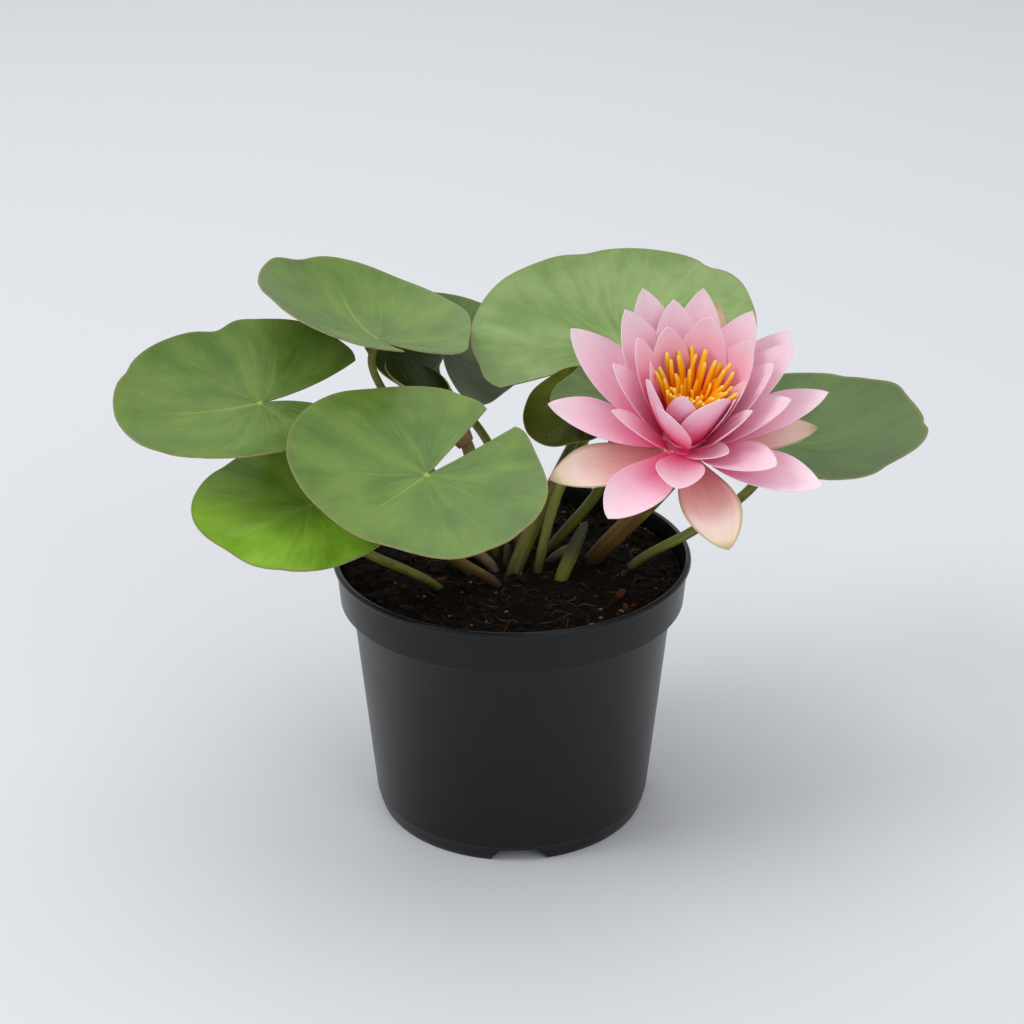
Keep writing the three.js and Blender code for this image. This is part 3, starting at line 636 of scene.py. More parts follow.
# The inside look is the leaf green darkened with painted shade.
rollInsidePaintedShade = funnelLook("rollInsidePaintedShade", funnel["inside"])
thicken(roll, funnel["thickness"] * mm, [rollOutside, rollInsidePaintedShade, rimLook])
rollLine = smoothLine(funnel["path"], funnel["stalkSteps"])
rollStalk = stalkAlong("rollStalk", rollLine, lambda u: funnel["stalkRadius"] * mm)
rollStalk.data.materials.append(stalkMaterials["brown"])
rolled = joinPieces([roll, rollStalk], "rolled_leaf_sheet")
smoothShade(rolled, 50)
place(rolled, "leaves", "rolled_leaf")


# Shoots and old bracts at the crown.

shoots = [
    {"name": "spear_leaf", "points": [(24, -23, 120), (25, -21, 138), (31, -17, 153), (39, -12, 170)],
     "radius": 3.9, "swell": 0.68, "slot": "leaf_dark", "foot": (118, 122, 34), "tip": (50, 56, 26)},
    {"name": "small_shoot", "points": [(-2.5, -4, 124), (-2.6, -3.6, 138), (-2.6, -2.5, 153)],
     "radius": 2.6, "swell": 0.6, "slot": "leaf_dark", "foot": (70, 66, 26), "tip": (62, 60, 26)},
    {"name": "bract_left", "points": [(-6.5, -11, 126), (-8.5, -9.5, 138), (-16, -5, 146), (-24, -1, 149)],
     "radius": 3.1, "swell": 0.55, "slot": "bracts", "foot": (70, 50, 32), "tip": (104, 82, 56)},
    {"name": "bract_right", "points": [(16, -1.5, 126), (19, -0.5, 139), (26, 0.5, 146), (34, 2, 150)],
     "radius": 2.4, "swell": 0.5, "slot": "bracts", "foot": (64, 52, 34), "tip": (110, 96, 66)},
]


def shootLook(shoot):
    look, shader = newLook(shoot["name"] + "Skin", Roughness=0.5)
    tree = look.node_tree
    uv = coordsOf(tree, "UV")
    height = put(tree, "ShaderNodeSeparateXYZ", {0: coordsOf(tree, "Object")}).outputs["Z"]
    streaks = noiseOf(tree, stretched(tree, uv, (3, 18, 1)), 1.0, 4, 0.6, 0.5)
    top = shoot["points"][-1][2] * mm
    share = maths(tree, "ADD", rangeOf(tree, height, 0.14, top), maths(tree, "MULTIPLY", streaks, 0.3))
    color = blendOf(tree, rangeOf(tree, share, 0.2, 0.9), sRgb(*shoot["foot"]), sRgb(*shoot["tip"]))
    tree.links.new(color, shader.inputs["Base Color"])
    bumpOf(tree, shader, streaks, 0.0008, 0.6)
    return look


for shoot in shoots:
    def shootRadius(u, shoot=shoot):
        grow = 0.6 + 0.4 * math.sin(math.pi / 2 * min(1, u / shoot["swell"]))
        close = max(0, math.cos(math.pi / 2 * max(0, (u - shoot["swell"]) / (1 - shoot["swell"]))))
        return max(shoot["radius"] * grow * close ** 0.42, 0.12) * mm

    line = smoothLine(shoot["points"], stalkShapes["shootSteps"])
    piece = stalkAlong(shoot["name"] + "_skin", line, shootRadius, 3)
    piece.data.materials.append(shootLook(shoot))
    place(piece, shoot["slot"], shoot["name"])
print("rolled leaf and shoots made")


# Flower.

flower = {
    "petalThickness": 0.42, "columns": 12, "rows": 24, "widest": 0.56, "folds": 0.5, "crease": 0.35,
    "petalStops": [(0.05, (242, 70, 134)), (0.22, (250, 144, 186)), (0.5, (253, 204, 222)),
                   (1.0, (255, 232, 240))],
    "heartStops": [(0.06, (244, 48, 108)), (0.32, (254, 118, 160)), (0.66, (255, 184, 208)),
                   (1.0, (255, 222, 234))],
    "sepalStops": [(0.1, (234, 166, 166)), (0.5, (240, 200, 190)), (0.76, (246, 230, 216)),
                   (1.0, (228, 216, 180))],
    "sepalEdge": (164, 152, 96), "petalVeins": 0.12, "heartVeins": 0.1, "sepalVeins": 0.16,
    "hubRim": 1.2, "rootRise": 1.1, "rootStep": 0.2,
}
# Each petal: turn round the axis, rise above the flat, length and width, then, where it has them,
# how far it swings aside and how bluntly it ends.
sepals = [(-153, 13.4, 67.1, 28), (-77.1, 9.4, 65, 29), (0, 13.6, 56.3, 22), (74, 43, 65.5, 28)]
outerPetals = [
    (147, 36.7, 71.8, 29), (-121, 20.6, 73.7, 28), (-38, 19.3, 71.9, 26), (33, 42, 67.9, 27),
    (182, 28.4, 66.2, 25), (5, 27.3, 66.1, 23), (81, 49, 69.4, 26), (113, 51.8, 72.3, 26),
]
middlePetals = [
    (-98.4, 29.5, 46, 24), (-50, 32, 56.2, 24, 4), (-84, 41.5, 33.1, 15, 38), (22, 45.8, 65.3, 24),
    (50, 52.6, 64.9, 25), (130, 55, 65.9, 25), (168, 59, 54.5, 19), (-143, 51, 50.1, 16, -20),
    (-20, 44.2, 54.7, 21, 14), (6, 56.9, 56.9, 21, 6), (98, 55, 63, 24), (-47, 59.8, 48.8, 16, 20),
]
innerPetals = [
    (71.7, 63, 56, 25), (30, 62, 55.1, 24), (110.3, 65, 51.5, 20), (148, 67.6, 56.8, 18),
    (-112, 69.5, 41, 26, -27, 0.42), (-50, 77, 42, 29, -12, 0.42), (-22, 68, 38, 14),
    (168, 76.7, 49.9, 12), (-154, 74, 53, 19, 0, 0.55), (-6, 66, 44.7, 14, 4), (-107.2, 82, 45.4, 17),
]


# Puts a point of the upright flower, in millimetres, on top of its tilted stalk.
def toBloom(point):
    return (Matrix.Rotation(math.radians(bloomTilt), 3, "X") @ point + Vector(bloomBase)) * mm


# A direction in the flat of the flower, from its turn in degrees.
def level(turn):
    return Vector((math.cos(math.radians(turn)), math.sin(math.radians(turn)), 0))


# A point of a petal: v runs across it and u from its root to its tip.
def petalPoint(petal, ring, rootHeight, v, u, seed):
    turn, rise, length, width, swing, ends = (*petal, 0, 0)[:6]
    outward = level(turn + swing)
    side = Vector((-outward.y, outward.x, 0))
    root = level(turn) * ring["root"]
    half = math.radians(ring["bend"]) / 2
    start = math.radians(rise) - half
    bow = length / (2 * math.sin(half))
    turned = start + 2 * half * u
    along = bow * (math.sin(turned) - math.sin(start))
    up = rootHeight - bow * (math.cos(turned) - math.cos(start))
    widest = flower["widest"]
    rising = math.sin(math.pi / 2 * min(1, u / widest)) ** 1.1
    narrowed = max(0, (u - widest) / (1 - widest))
    closing = max(0, math.cos(math.pi / 2 * narrowed)) ** (ends or ring["closing"])
    reach = max(width / 2 * (ring["neck"] + (1 - ring["neck"]) * rising) * closing, 0.2)
    across = (v * 2 - 1) * reach
    lift = ring["cup"] * across * across / (width / 2)
    lift += flower["folds"] * u * noise.noise(Vector((v * 1.6, u * 2.2, seed)))
    lift -= flower["crease"] * math.exp(-(across / 1.6) ** 2) * u * (1 - u) * 2
    point = root + outward * (along - lift * math.sin(turned)) + side * across
    point.z += up + lift * math.cos(turned)
    return toBloom(point)


def petalLook(name, stops, veins):
    look, shader = newLook(name, Roughness=0.5)
    softSkin(shader, 0.24, 0.25, 0.001, (1.0, 0.5, 0.6))
    tree = look.node_tree
    uv = coordsOf(tree, "UV")
    split = put(tree, "ShaderNodeSeparateXYZ", {0: uv})
    lines = noiseOf(tree, stretched(tree, uv, (34, 1.3, 1)), 1.0, 3, 0.55, 0.2)
    clouds = noiseOf(tree, coordsOf(tree, "Object"), 80, 3, 0.5)
    drift = maths(tree, "MULTIPLY", maths(tree, "SUBTRACT", clouds, 0.5), 0.2)
    along = maths(tree, "ADD", split.outputs["Y"], drift)
    fromMiddle = maths(tree, "ABSOLUTE", maths(tree, "SUBTRACT", split.outputs["X"], 0.5))
    along = maths(tree, "ADD", along, maths(tree, "MULTIPLY", maths(tree, "POWER", fromMiddle, 2.0), 0.3))
    color = rampOf(tree, along, [(share, sRgb(*stop)) for share, stop in stops])
    shade = rangeOf(tree, lines, 0.34, 0.66, 1 - veins, 1.0)
    vein = put(tree, "ShaderNodeCombineColor", {0: 1.0, 1: shade, 2: shade}).outputs[0]
    color = blendOf(tree, 1.0, color, vein, "MULTIPLY")
    tree.links.new(color, shader.inputs["Base Color"])
    bumpOf(tree, shader, lines, 0.0005, 0.3)
    return look, shader, color


petalSkin = petalLook("petalSkin", flower["petalStops"], flower["petalVeins"])[0]
heartSkin = petalLook("heartSkin", flower["heartStops"], flower["heartVeins"])[0]
sepalLook, shader, sepalBase = petalLook("sepalSkin", flower["sepalStops"], flower["sepalVeins"])
tree = sepalLook.node_tree
split = put(tree, "ShaderNodeSeparateXYZ", {0: coordsOf(tree, "UV")})
edge = maths(tree, "ABSOLUTE", maths(tree, "SUBTRACT", split.outputs["X"], 0.5))
tipShare = rangeOf(tree, split.outputs["Y"], 0.88, 1.0, 0.0, 0.7)
edge = maths(tree, "MAXIMUM", rangeOf(tree, edge, 0.42, 0.5, 0.0, 0.7), tipShare)
color = blendOf(tree, edge, sepalBase, sRgb(*flower["sepalEdge"]))
tree.links.new(color, shader.inputs["Base Color"])

rings = [
    {"name": "sepals", "petals": sepals, "root": 11.2, "foot": 0, "top": 2.7, "bend": 8, "cup": 0.28,
     "neck": 0.34, "closing": 0.75, "look": sepalLook, "slot": "sepals"},
    {"name": "petals_outer", "petals": outerPetals, "root": 10.7, "foot": 3, "top": 5.4, "bend": 14,
     "cup": 0.3, "neck": 0.3, "closing": 0.75, "look": petalSkin, "slot": "petals"},
    {"name": "petals_middle", "petals": middlePetals, "root": 10.2, "foot": 5.8, "top": 8.2, "bend": 16,
     "cup": 0.34, "neck": 0.34, "closing": 0.72, "look": petalSkin, "slot": "petals"},
    {"name": "petals_inner", "petals": innerPetals, "root": 8.6, "foot": 9.4, "top": 11.6, "bend": 24,
     "cup": 0.26, "neck": 0.38, "closing": 0.62, "look": heartSkin, "slot": "petals"},
]


def hubDisc(name, radius, low, high, look):
    clearSelection()
    bpy.ops.mesh.primitive_cylinder_add(vertices=32, radius=radius * mm, depth=(high - low) * mm)
    disc = bpy.context.object
    disc.name = name
    bevel = disc.modifiers.new("edge", "BEVEL")
    bevel.width = 0.5 * mm
    bevel.segments = 3
    applyModifiers(disc)
    for vertex in disc.data.vertices:
        vertex.co = toBloom(vertex.co / mm + Vector((0, 0, (low + high) / 2)))
    disc.data.materials.append(look)
    return disc


for k, ring in enumerate(rings):
    hubRadius = ring["root"] + flower["hubRim"]
    parts = [hubDisc(ring["name"] + "_hub", hubRadius, ring["foot"], ring["top"], ring["look"])]
    for i, petal in enumerate(ring["petals"]):
        rootHeight = ring["foot"] + flower["rootRise"] + (i % 3) * flower["rootStep"]
        sheet = bentGrid(
            ring["name"] + str(i), flower["columns"], flower["rows"],
            lambda v, u, petal=petal, ring=ring, rootHeight=rootHeight, seed=k * 20 + i:
                petalPoint(petal, ring, rootHeight, v, u, seed),
        )
        thicken(sheet, flower["petalThickness"] * mm, [ring["look"]])
        parts.append(sheet)
    piece = joinPieces(parts, ring["name"] + "_leaves")
    smoothShade(piece, 60)
    place(piece, ring["slot"], ring["name"])
print("petals made")


# Each circle of filaments: count, radius, rise above the flat, length, bend and width.
stamens = {
    "circles": [(21, 6.7, 76, 35.5, 13, 3.5), (19, 5.6, 79, 32.5, 13, 3.4), (16, 4.5, 82, 28.5, 12, 3.1),
                (13, 3.4, 85, 24, 12, 2.9), (9, 2.2, 88, 20, 10, 2.7), (5, 1, 90, 17, 8, 2.6)],
    "foot": 13.3, "shift": (0.8, 1.2), "openTurn": 65, "sides": 8, "rings": 14, "steps": 12, "blunt": 0.94,
    "flatness": 0.78, "hub": (8, 12.4, 14.2), "seed": 4, "leanGain": 1.2, "leanShift": 0.36,
    "stops": [(0.2, (250, 92, 0)), (0.5, (255, 146, 0)), (0.76, (255, 196, 30)), (1.0, (255, 226, 110))],
}


# How a filament stands at the share u of its length: its rise and its turn aside, as angles.
def stamenBend(one, u):
    rise = math.radians(one["rise"] - one["bend"] * u - one["hook"] * u ** 3)
    return rise, one["sway"] * math.sin(math.pi * (one["waves"] * u + one["phase"])) * u


# A point of a filament: across runs round it and along from its root to its blunt tip.
def stamenPoint(one, across, along):
    along = 1 - (1 - along) ** 1.5
    outward = Vector((math.cos(one["turn"]), math.sin(one["turn"]), 0))
    side = Vector((-outward.y, outward.x, 0))
    up = Vector((0, 0, 1))
    centre = outward * one["radius"] + up * stamens["foot"] + Vector((*stamens["shift"], 0))
    stride = along * one["length"] / stamens["steps"]
    for step in range(stamens["steps"]):
        rise, aside = stamenBend(one, along * (step + 0.5) / stamens["steps"])
        forward = math.cos(aside) * stride
        ahead = outward * (math.cos(rise) * forward) + up * (math.sin(rise) * forward)
        centre += ahead + side * (math.sin(aside) * stride)
    rise = stamenBend(one, along)[0]
    normal = side.cross(outward * math.cos(rise) + up * math.sin(rise))
    taper = 1.2 - 0.55 * along
    if along > stamens["blunt"]:
        taper *= math.sqrt(max(0, 1 - ((along - stamens["blunt"]) / (1 - stamens["blunt"])) ** 2))
    spin = across * 2 * math.pi
    reach = one["width"] / 2 * taper
    point = centre + side * (reach * math.cos(spin))
    return toBloom(point + normal * (reach * stamens["flatness"] * math.sin(spin)))


stamenLook, shader = newLook("stamenSkin", Roughness=0.4)
softSkin(shader, 0.14, 0.2, 0.0012, (1.0, 0.5, 0.1))
tree = stamenLook.node_tree
lengthwise = put(tree, "ShaderNodeSeparateXYZ", {0: coordsOf(tree, "UV")}).outputs["Y"]
grain = noiseOf(tree, coordsOf(tree, "Object"), 420, 3, 0.5)
drift = maths(tree, "MULTIPLY", maths(tree, "SUBTRACT", grain, 0.5), 0.16)
lengthwise = maths(tree, "ADD", lengthwise, drift)
color = rampOf(tree, lengthwise, [(share, sRgb(*stop)) for share, stop in stamens["stops"]])
tree.links.new(color, shader.inputs["Base Color"])
bumpOf(tree, shader, grain, 0.0003, 0.4)

random.seed(stamens["seed"])
parts = [hubDisc("stamens_hub", *stamens["hub"], stamenLook)]
for k, (count, radius, rise, length, bend, width) in enumerate(stamens["circles"]):
    for i in range(count):
        turn = (i + k * 0.5) / count * 2 * math.pi + random.uniform(-0.06, 0.06)
        lean = stamens["leanGain"] * math.cos(turn - math.radians(stamens["openTurn"]))
        lean -= stamens["leanShift"]
        one = {
            "turn": turn, "radius": radius, "rise": rise - 8 * lean + random.uniform(-3, 3),
            "length": length * (1 + 0.08 * math.sin(turn)) * random.uniform(0.92, 1.04),
            "bend": bend * (1 + 0.45 * lean), "hook": random.uniform(-12, 28) + 16 * max(lean, 0),
            "width": width * random.uniform(0.88, 1.1), "sway": random.uniform(-0.42, 0.42),
            "waves": random.uniform(0.9, 1.7), "phase": random.uniform(0, 0.5),
        }
        filament = bentGrid(
            f"filament{k}_{i}", stamens["sides"], stamens["rings"],
            lambda across, along, one=one: stamenPoint(one, across, along),
        )
        filament.data.materials.append(stamenLook)
        parts.append(filament)
piece = joinPieces(parts, "stamens_ring")
mergePoints(piece, 2e-6)
activate(piece)
bpy.ops.object.mode_set(mode="EDIT")
bpy.ops.mesh.select_all(action="DESELECT")
bpy.ops.mesh.select_non_manifold()
bpy.ops.mesh.fill_holes(sides=0)
bpy.ops.object.mode_set(mode="OBJECT")
fixNormals(piece)
smoothShade(piece, 70)
place(piece, "stamens", "stamens")
print("stamens made")


# Pot: its radii and heights, its notches and its drain holes.

pot = {
    "height": 147, "rimRadius": 95, "rimWidth": 3, "collarTopRadius": 93.2, "collarFootRadius": 91.7,
    "collarFoot": 122, "bodyTopRadius": 85.3, "bodyFootRadius": 74.6, "footHeight": 9, "footRadius": 72.5,
    "wall": 1.9, "floorUnder": 8, "floorTop": 10, "hubRadius": 12, "sides": 160, "notches": 4,
    "notchTurn": -87, "notchTop": 20, "notchFoot": 30, "notchHeight": 7.4, "notchDepth": 13,
    "notchFlare": 1.07, "drains": 8, "drainRadius": 6, "drainCircle": 45, "drainMiddle": 8,
    "drainDepth": 12, "floorMiddle": 30, "color": (17, 17, 19), "dust": (34, 33, 32),
}


# Draws a round shell by extruding a ring of points up a profile and scaling it at each step.
def turnedShell(name, profile, sides):
    clearSelection()
    first = profile[0]
    bpy.ops.mesh.primitive_circle_add(
        vertices=sides, radius=first[0] * mm, location=(0, 0, first[1] * mm))
    shell = bpy.context.object
    shell.name = name
    bpy.ops.object.transform_apply(location=True, rotation=True, scale=True)
    bpy.ops.object.mode_set(mode="EDIT")
    bpy.ops.mesh.select_all(action="SELECT")
    last = first
    for radius, height in profile[1:]:
        rise = (0, 0, (height - last[1]) * mm)
        bpy.ops.mesh.extrude_region_move(TRANSFORM_OT_translate={"value": rise})
        scale = radius / last[0]
        bpy.ops.transform.resize(value=(scale, scale, 1), center_override=(0, 0, 0))
        last = (radius, height)
    return shell


# Closes the shell's two open rings, turns its faces outwards and ends the editing.
def closeEnds():
    bpy.ops.mesh.select_all(action="DESELECT")
    bpy.ops.mesh.select_non_manifold()
    bpy.ops.mesh.edge_face_add()
    bpy.ops.mesh.select_all(action="SELECT")
    bpy.ops.mesh.normals_make_consistent(inside=False)
    bpy.ops.object.mode_set(mode="OBJECT")


potProfile = [
    (pot["hubRadius"] - 0.6, 0), (pot["hubRadius"], 0.6), (pot["hubRadius"] + 1, pot["floorUnder"]),
    (pot["footRadius"] - 5, pot["floorUnder"]), (pot["footRadius"] - 4, 0.6), (pot["footRadius"] - 3.4, 0),
    (pot["footRadius"] - 1, 0), (pot["footRadius"] - 0.3, 0.2), (pot["footRadius"] + 0.1, 0.8),
    (pot["bodyFootRadius"] - 1.0, 4), (pot["bodyFootRadius"] - 0.3, pot["footHeight"] - 0.6),
    (pot["bodyFootRadius"], pot["footHeight"]), (pot["bodyFootRadius"] + 0.35, pot["footHeight"] + 0.4),
    (pot["bodyTopRadius"], pot["collarFoot"] - 1.2), (pot["bodyTopRadius"] + 0.5, pot["collarFoot"] - 0.5),
    (pot["bodyTopRadius"] + 1.3, pot["collarFoot"] - 0.1),
    (pot["collarFootRadius"] - 1.8, pot["collarFoot"]),
    (pot["collarFootRadius"] - 0.7, pot["collarFoot"] + 0.4),
    (pot["collarFootRadius"] - 0.1, pot["collarFoot"] + 1.3),
    (pot["collarFootRadius"], pot["collarFoot"] + 2.4), (pot["collarTopRadius"], pot["height"] - 3.8),
    (pot["rimRadius"] - 1, pot["height"] - 3.4), (pot["rimRadius"] - 0.25, pot["height"] - 2.8),
    (pot["rimRadius"], pot["height"] - 2), (pot["rimRadius"] - 0.15, pot["height"] - 1.1),
    (pot["rimRadius"] - 0.6, pot["height"] - 0.4), (pot["rimRadius"] - 1.3, pot["height"]),
    (pot["rimRadius"] - pot["rimWidth"] + 0.9, pot["height"]),
    (pot["rimRadius"] - pot["rimWidth"] + 0.2, pot["height"] - 0.4),
    (pot["rimRadius"] - pot["rimWidth"], pot["height"] - 1),
    (pot["collarTopRadius"] - pot["wall"], pot["height"] - 4),
    (pot["collarFootRadius"] - pot["wall"], pot["collarFoot"] + 2.4),
    (pot["bodyTopRadius"] - pot["wall"], pot["collarFoot"] - 2),
    (pot["bodyFootRadius"] - pot["wall"], pot["floorTop"] + 2),
    (pot["bodyFootRadius"] - pot["wall"] - 2, pot["floorTop"]),
    (pot["floorMiddle"], pot["floorTop"]),
]
shell = turnedShell("nursery_pot", potProfile, pot["sides"])
closeEnds()


def cutAway(piece, cutter):
    boolean = piece.modifiers.new("cut", "BOOLEAN")
    boolean.operation = "DIFFERENCE"
    boolean.solver = "EXACT"
    boolean.object = cutter
    applyModifiers(piece)
    bpy.data.objects.remove(cutter)


for i in range(pot["notches"]):
    clearSelection()
    bpy.ops.mesh.primitive_cube_add(size=1)
    notch = bpy.context.object
    turn = math.radians(pot["notchTurn"] + i * 360 / pot["notches"])
    for vertex in notch.data.vertices:
        high = vertex.co.z > 0
        wide = pot["notchTop"] if high else pot["notchFoot"] * pot["notchFlare"]
        vertex.co = Vector((
            (pot["footRadius"] - 1 + vertex.co.x * pot["notchDepth"]) * mm, vertex.co.y * wide * mm,
            (pot["notchHeight"] if high else -1) * mm,
        ))
    notch.data.transform(Matrix.Rotation(turn, 4, "Z"))
    cutAway(shell, notch)
for i in range(pot["drains"]):
    turn = (i + 0.5) / pot["drains"] * 2 * math.pi
    x, y = pot["drainCircle"] * math.cos(turn), pot["drainCircle"] * math.sin(turn)
    clearSelection()
    bpy.ops.mesh.primitive_cylinder_add(
        vertices=32, radius=pot["drainRadius"] * mm, depth=pot["drainDepth"] * mm,
        location=(x * mm, y * mm, pot["drainMiddle"] * mm))
    cutAway(shell, bpy.context.object)
smoothShade(shell, 35)

potLook, shader = newLook("potPlastic", Roughness=0.34)
shader.inputs["Specular IOR Level"].default_value = 0.27
tree = potLook.node_tree
coords = coordsOf(tree, "Object")
clouds = noiseOf(tree, coords, 14, 4, 0.6)
dust = noiseOf(tree, coords, 120, 5, 0.7)
peel = noiseOf(tree, coords, 1500, 2, 0.5)
dusty = rangeOf(tree, dust, 0.5, 0.8, 0.0, 0.3)
color = blendOf(tree, dusty, sRgb(*pot["color"]), sRgb(*pot["dust"]))
tree.links.new(color, shader.inputs["Base Color"])
tree.links.new(rangeOf(tree, clouds, 0.3, 0.7, 0.3, 0.36), shader.inputs["Roughness"])
bumpOf(tree, shader, peel, 0.0002, 0.3)
shell.data.materials.clear()
shell.data.materials.append(potLook)
place(shell, "pot", "pot")
print("pot made")


# Soil: its own heights, then what lies in it.

soil = {
    "edge": 137, "middle": 140, "gap": 0.3, "rings": 96, "sides": 240, "lumps": 3.2, "mound": 1.6,
    "seed": 11, "prototypes": 9, "fibres": 170, "raised": 0.12, "margin": 3,
}
wall = pot["wall"] + soil["gap"]
outer = pot["collarFootRadius"] - wall + 0.1
soilProfile = [
    (pot["bodyFootRadius"] - wall - 2.4, pot["floorTop"] + soil["gap"]),
    (pot["bodyFootRadius"] - wall - 0.4, pot["floorTop"] + 2.4),
    (pot["bodyTopRadius"] - wall - 0.4, pot["collarFoot"] - 2),
    (pot["collarFootRadius"] - wall - 0.4, pot["collarFoot"] + 2.8),
    (outer, soil["edge"]),
]
for i in range(soil["rings"] - 1, 0, -1):
    share = i / soil["rings"]
    soilProfile.append((outer * share, soil["edge"] + (soil["middle"] - soil["edge"]) * (1 - share * share)))
ground = turnedShell("soil_fill", soilProfile, soil["sides"])
closeEnds()


# Where each stalk and shoot leaves the soil, and its radius there.
stems = [(stalk["root"][0], stalk["root"][1], stalk["radius"]) for stalk in stalks]
stems.append((*flowerStalk["root"], flowerStalk["radius"]))
stems.append((*funnel["path"][1][:2], funnel["stalkRadius"]))
stems += [(*shoot["points"][1][:2], shoot["radius"]) for shoot in shoots]


# The soil's height at a place: a low dome with lumps and grit, mounded up round the stems.
def groundHeight(x, y):
    r = math.hypot(x, y)
    top = soil["edge"] + (soil["middle"] - soil["edge"]) * (1 - (r / outer) ** 2)
    lump = noise.fractal(Vector((x * 0.05, y * 0.05, soil["seed"])), 0.9, 2.0, 6)
    grit = noise.noise(Vector((x * 0.33, y * 0.33, 3))) * 1.1
    grit += noise.noise(Vector((x * 0.8, y * 0.8, 8))) * 0.7
    fade = min(1, max(0, (outer - r) / 2))
    near = sum(math.exp(-(((x - a) ** 2 + (y - b) ** 2) / (c + 3) ** 2)) for a, b, c in stems)
    return top + fade * (soil["lumps"] * lump + grit + soil["mound"] * min(near, 1.2))


for vertex in ground.data.vertices:
    x, y, z = vertex.co / mm
    if z > soil["edge"] + 0.01 and math.hypot(x, y) < outer - 0.5:
        vertex.co.z = groundHeight(x, y) * mm
smoothShade(ground, 80)


soilLooks = {
    "soil": {"dark": (7, 5, 3), "light": (32, 21, 12), "scale": 240, "rough": 0.9},
    # The crumbs' light brown is partly their own lighter colour and partly painted highlight on the lumps.
    "crumb": {"dark": (10, 7, 4), "light": (62, 44, 27), "scale": 420, "rough": 0.9},
    "chip": {"dark": (120, 88, 50), "light": (190, 150, 98), "scale": 300, "rough": 0.8},
    "bark": {"dark": (58, 34, 20), "light": (142, 92, 54), "scale": 260, "rough": 0.85},
    "fibre": {"dark": (64, 46, 28), "light": (124, 96, 62), "scale": 300, "rough": 0.8},
}


def soilLook(kind):
    values = soilLooks[kind]
    look, shader = newLook(kind + "Skin", Roughness=values["rough"])
    shader.inputs["Specular IOR Level"].default_value = 0.12
    tree = look.node_tree
    coords = coordsOf(tree, "Object")
    coarse = noiseOf(tree, coords, values["scale"], 6, 0.75)
    fine = noiseOf(tree, coords, values["scale"] * 6, 4, 0.7)
    share = maths(tree, "ADD", maths(tree, "MULTIPLY", coarse, 0.6), maths(tree, "MULTIPLY", fine, 0.4))
    color = rampOf(tree, share, [(0.38, sRgb(*values["dark"])), (0.68, sRgb(*values["light"]))])
    tree.links.new(color, shader.inputs["Base Color"])
    rough = rangeOf(tree, coarse, 0.3, 0.7, values["rough"] - 0.25, values["rough"])
    tree.links.new(rough, shader.inputs["Roughness"])
    bumpOf(tree, shader, share, 0.0025, 0.9)
    return look


soilMaterials = {kind: soilLook(kind) for kind in soilLooks}
ground.data.materials.append(soilMaterials["soil"])


# One lump of unit size, uneven and squashed, that the loop below copies at many sizes.
def crumb(name, look, squash, fineness):
    clearSelection()
    bpy.ops.mesh.primitive_ico_sphere_add(subdivisions=fineness, radius=1)
    lump = bpy.context.object
    lump.name = name
    offset = Vector((random.uniform(0, 50), random.uniform(0, 50), random.uniform(0, 50)))
    tilt = Matrix.Rotation(random.uniform(-0.5, 0.5), 3, "X")
    for vertex in lump.data.vertices:
        grown = vertex.co * (1 + 0.6 * noise.noise(vertex.co * 1.4 + offset))
        vertex.co = tilt @ Vector((grown.x, grown.y * squash[0], grown.z * squash[1]))
    lump.data.materials.append(look)
    return lump


# A random place on the soil, clear of every stem.
def freeSpot(clearance):
    while True:
        r = outer * math.sqrt(random.uniform(0, 1)) - 2.5
        turn = random.uniform(0, 2 * math.pi)
        x, y = r * math.cos(turn), r * math.sin(turn)
        if r > 0 and all(math.hypot(x - a, y - b) > c + clearance for a, b, c in stems):
            return x, y


random.seed(soil["seed"])
parts = [ground]
kinds = [
    {"name": "crumb", "count": 900, "size": (0.8, 3.1), "squash": (0.6, 1), "fineness": 1, "spots": []},
    {"name": "chip", "count": 52, "size": (0.7, 1.5), "squash": (0.6, 0.9), "fineness": 2, "spots": []},
    {"name": "bark", "count": 9, "size": (2.6, 5.0), "squash": (0.28, 0.42), "fineness": 2,
     "spots": [(62.5, -45), (58, -47.5)]},
]
for kind in kinds:
    models = []
    for i in range(min(soil["prototypes"], kind["count"])):
        squash = (random.uniform(*kind["squash"]), random.uniform(0.4, 0.75))
        look = soilMaterials[kind["name"]]
        models.append(crumb(kind["name"] + str(i), look, squash, kind["fineness"]))
    for i in range(kind["count"]):
        model = models[i % len(models)]
        lump = model.copy()
        lump.data = model.data.copy()
        bpy.context.scene.collection.objects.link(lump)
        size = kind["size"][0] + (kind["size"][1] - kind["size"][0]) * random.random() ** 2
        x, y = kind["spots"][i] if i < len(kind["spots"]) else freeSpot(size)
        spin = Matrix.Rotation(random.uniform(0, 2 * math.pi), 4, "Z")
        lump.data.transform(spin @ Matrix.Scale(size * mm, 4))
        height = groundHeight(x, y) + size * soil["raised"]
        lump.data.transform(Matrix.Translation(Vector((x, y, height)) * mm))
        parts.append(lump)
    for model in models:
        bpy.data.objects.remove(model)
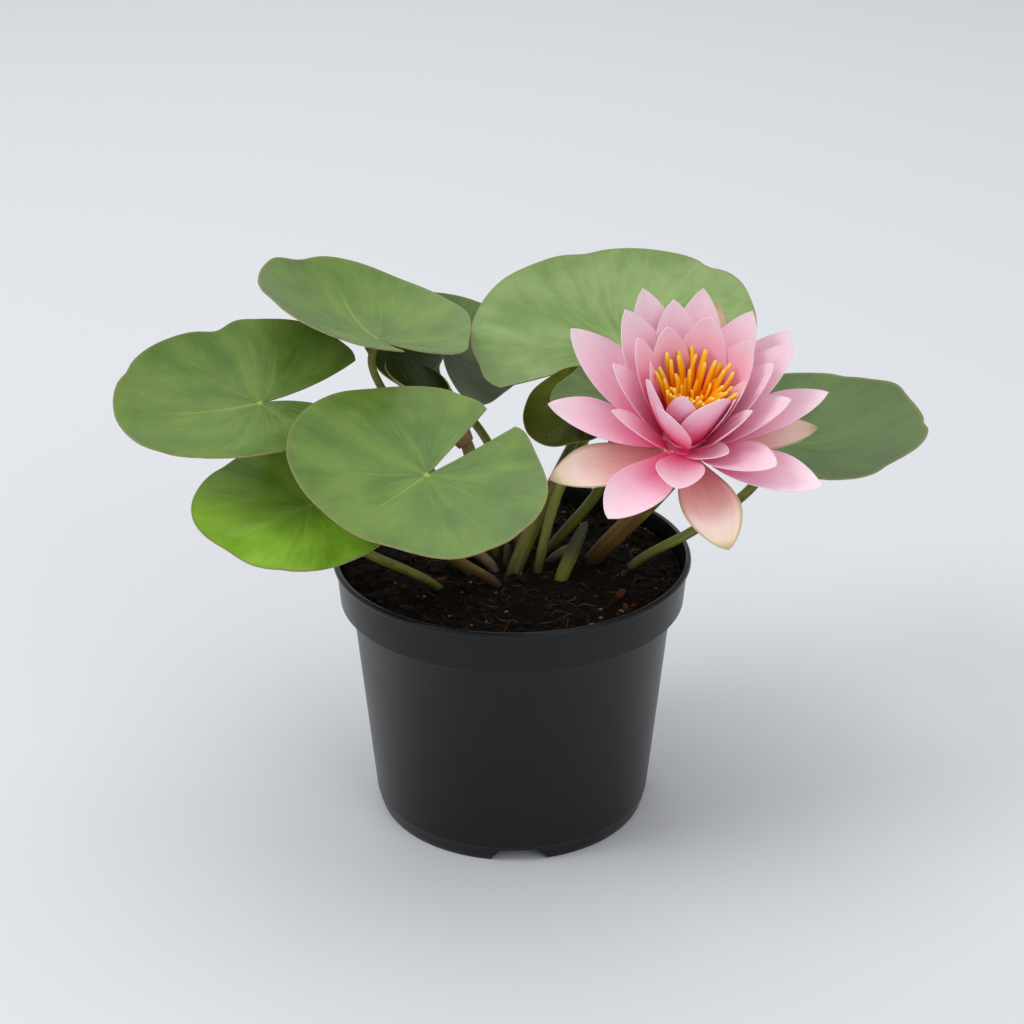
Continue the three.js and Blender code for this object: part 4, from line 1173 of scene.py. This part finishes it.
for i in range(soil["fibres"]):
    x, y = freeSpot(2)
    turn = random.uniform(0, 2 * math.pi)
    length = random.uniform(3, 11)
    bow = random.uniform(-2.5, 2.5)
    points = []
    for step in (-1, -0.3, 0.4, 1):
        px = x + math.cos(turn) * step * length / 2 - math.sin(turn) * bow * (1 - step * step)
        py = y + math.sin(turn) * step * length / 2 + math.cos(turn) * bow * (1 - step * step)
        reach = math.hypot(px, py)
        limit = outer - soil["margin"]
        if reach > limit:
            px, py = px * limit / reach, py * limit / reach
        points.append((px, py, groundHeight(px, py) + 0.25 + 0.5 * (1 - step * step)))
    thick = random.uniform(0.18, 0.46)
    fibre = stalkAlong(
        f"fibre{i}", smoothLine(points, 7), lambda u, thick=thick: thick * mm * (1.1 - 0.7 * u), 0)
    fibre.data.materials.append(soilMaterials["fibre"])
    parts.append(fibre)
piece = joinPieces(parts, "soil_surface")
place(piece, "soil", "soil")
print("soil made")


# Floor, light and camera.

studio = {
    "floor": (0.74, 0.755, 0.775), "floorGrain": (0.7, 0.71, 0.72), "floorSize": 12,
    "world": (0.90, 0.93, 0.97), "worldStrength": 0.63, "aim": (0, 0, 0.16),
    "lens": 73.65, "camera": (0, -1.003, 0.629), "pitch": 24.61,
}
clearSelection()
bpy.ops.mesh.primitive_plane_add(size=studio["floorSize"])
floor = bpy.context.object
floor.name = "studio_floor"
floorLook, shader = newLook("floorPaper", Roughness=0.85)
tree = floorLook.node_tree
grain = noiseOf(tree, coordsOf(tree, "Object"), 900, 2, 0.5)
share = rangeOf(tree, grain, 0.3, 0.7, 0, 0.04)
color = blendOf(tree, share, studio["floor"], studio["floorGrain"])
tree.links.new(color, shader.inputs["Base Color"])
floor.data.materials.append(floorLook)

world = bpy.data.worlds.new("studio")
world.use_nodes = True
background = world.node_tree.nodes["Background"]
background.inputs["Color"].default_value = (*studio["world"], 1)
background.inputs["Strength"].default_value = studio["worldStrength"]
bpy.context.scene.world = world

lamps = [
    {"name": "key", "at": (-2.2, -0.7, 2.4), "size": 1.5, "power": 31},
    {"name": "top", "at": (0.1, 0.5, 3.2), "size": 2.8, "power": 24},
    {"name": "back", "at": (-0.6, 2.6, 2.2), "size": 1.8, "power": 8},
    {"name": "fill", "at": (1.7, -2.4, 1.9), "size": 2.0, "power": 15},
]
for lamp in lamps:
    bpy.ops.object.light_add(type="AREA", location=lamp["at"])
    light = bpy.context.object
    light.name = lamp["name"]
    light.data.shape = "DISK"
    light.data.size = lamp["size"]
    light.data.energy = lamp["power"]
    aim = Vector(studio["aim"]) - Vector(lamp["at"])
    light.rotation_euler = aim.to_track_quat("-Z", "Y").to_euler()

tilt = (math.radians(90 - studio["pitch"]), 0, 0)
bpy.ops.object.camera_add(location=studio["camera"], rotation=tilt)
camera = bpy.context.object
camera.data.lens = studio["lens"]
camera.data.sensor_width = 36
bpy.context.scene.camera = camera
bpy.context.scene.view_settings.view_transform = "Standard"
clearSelection()
print("studio made")
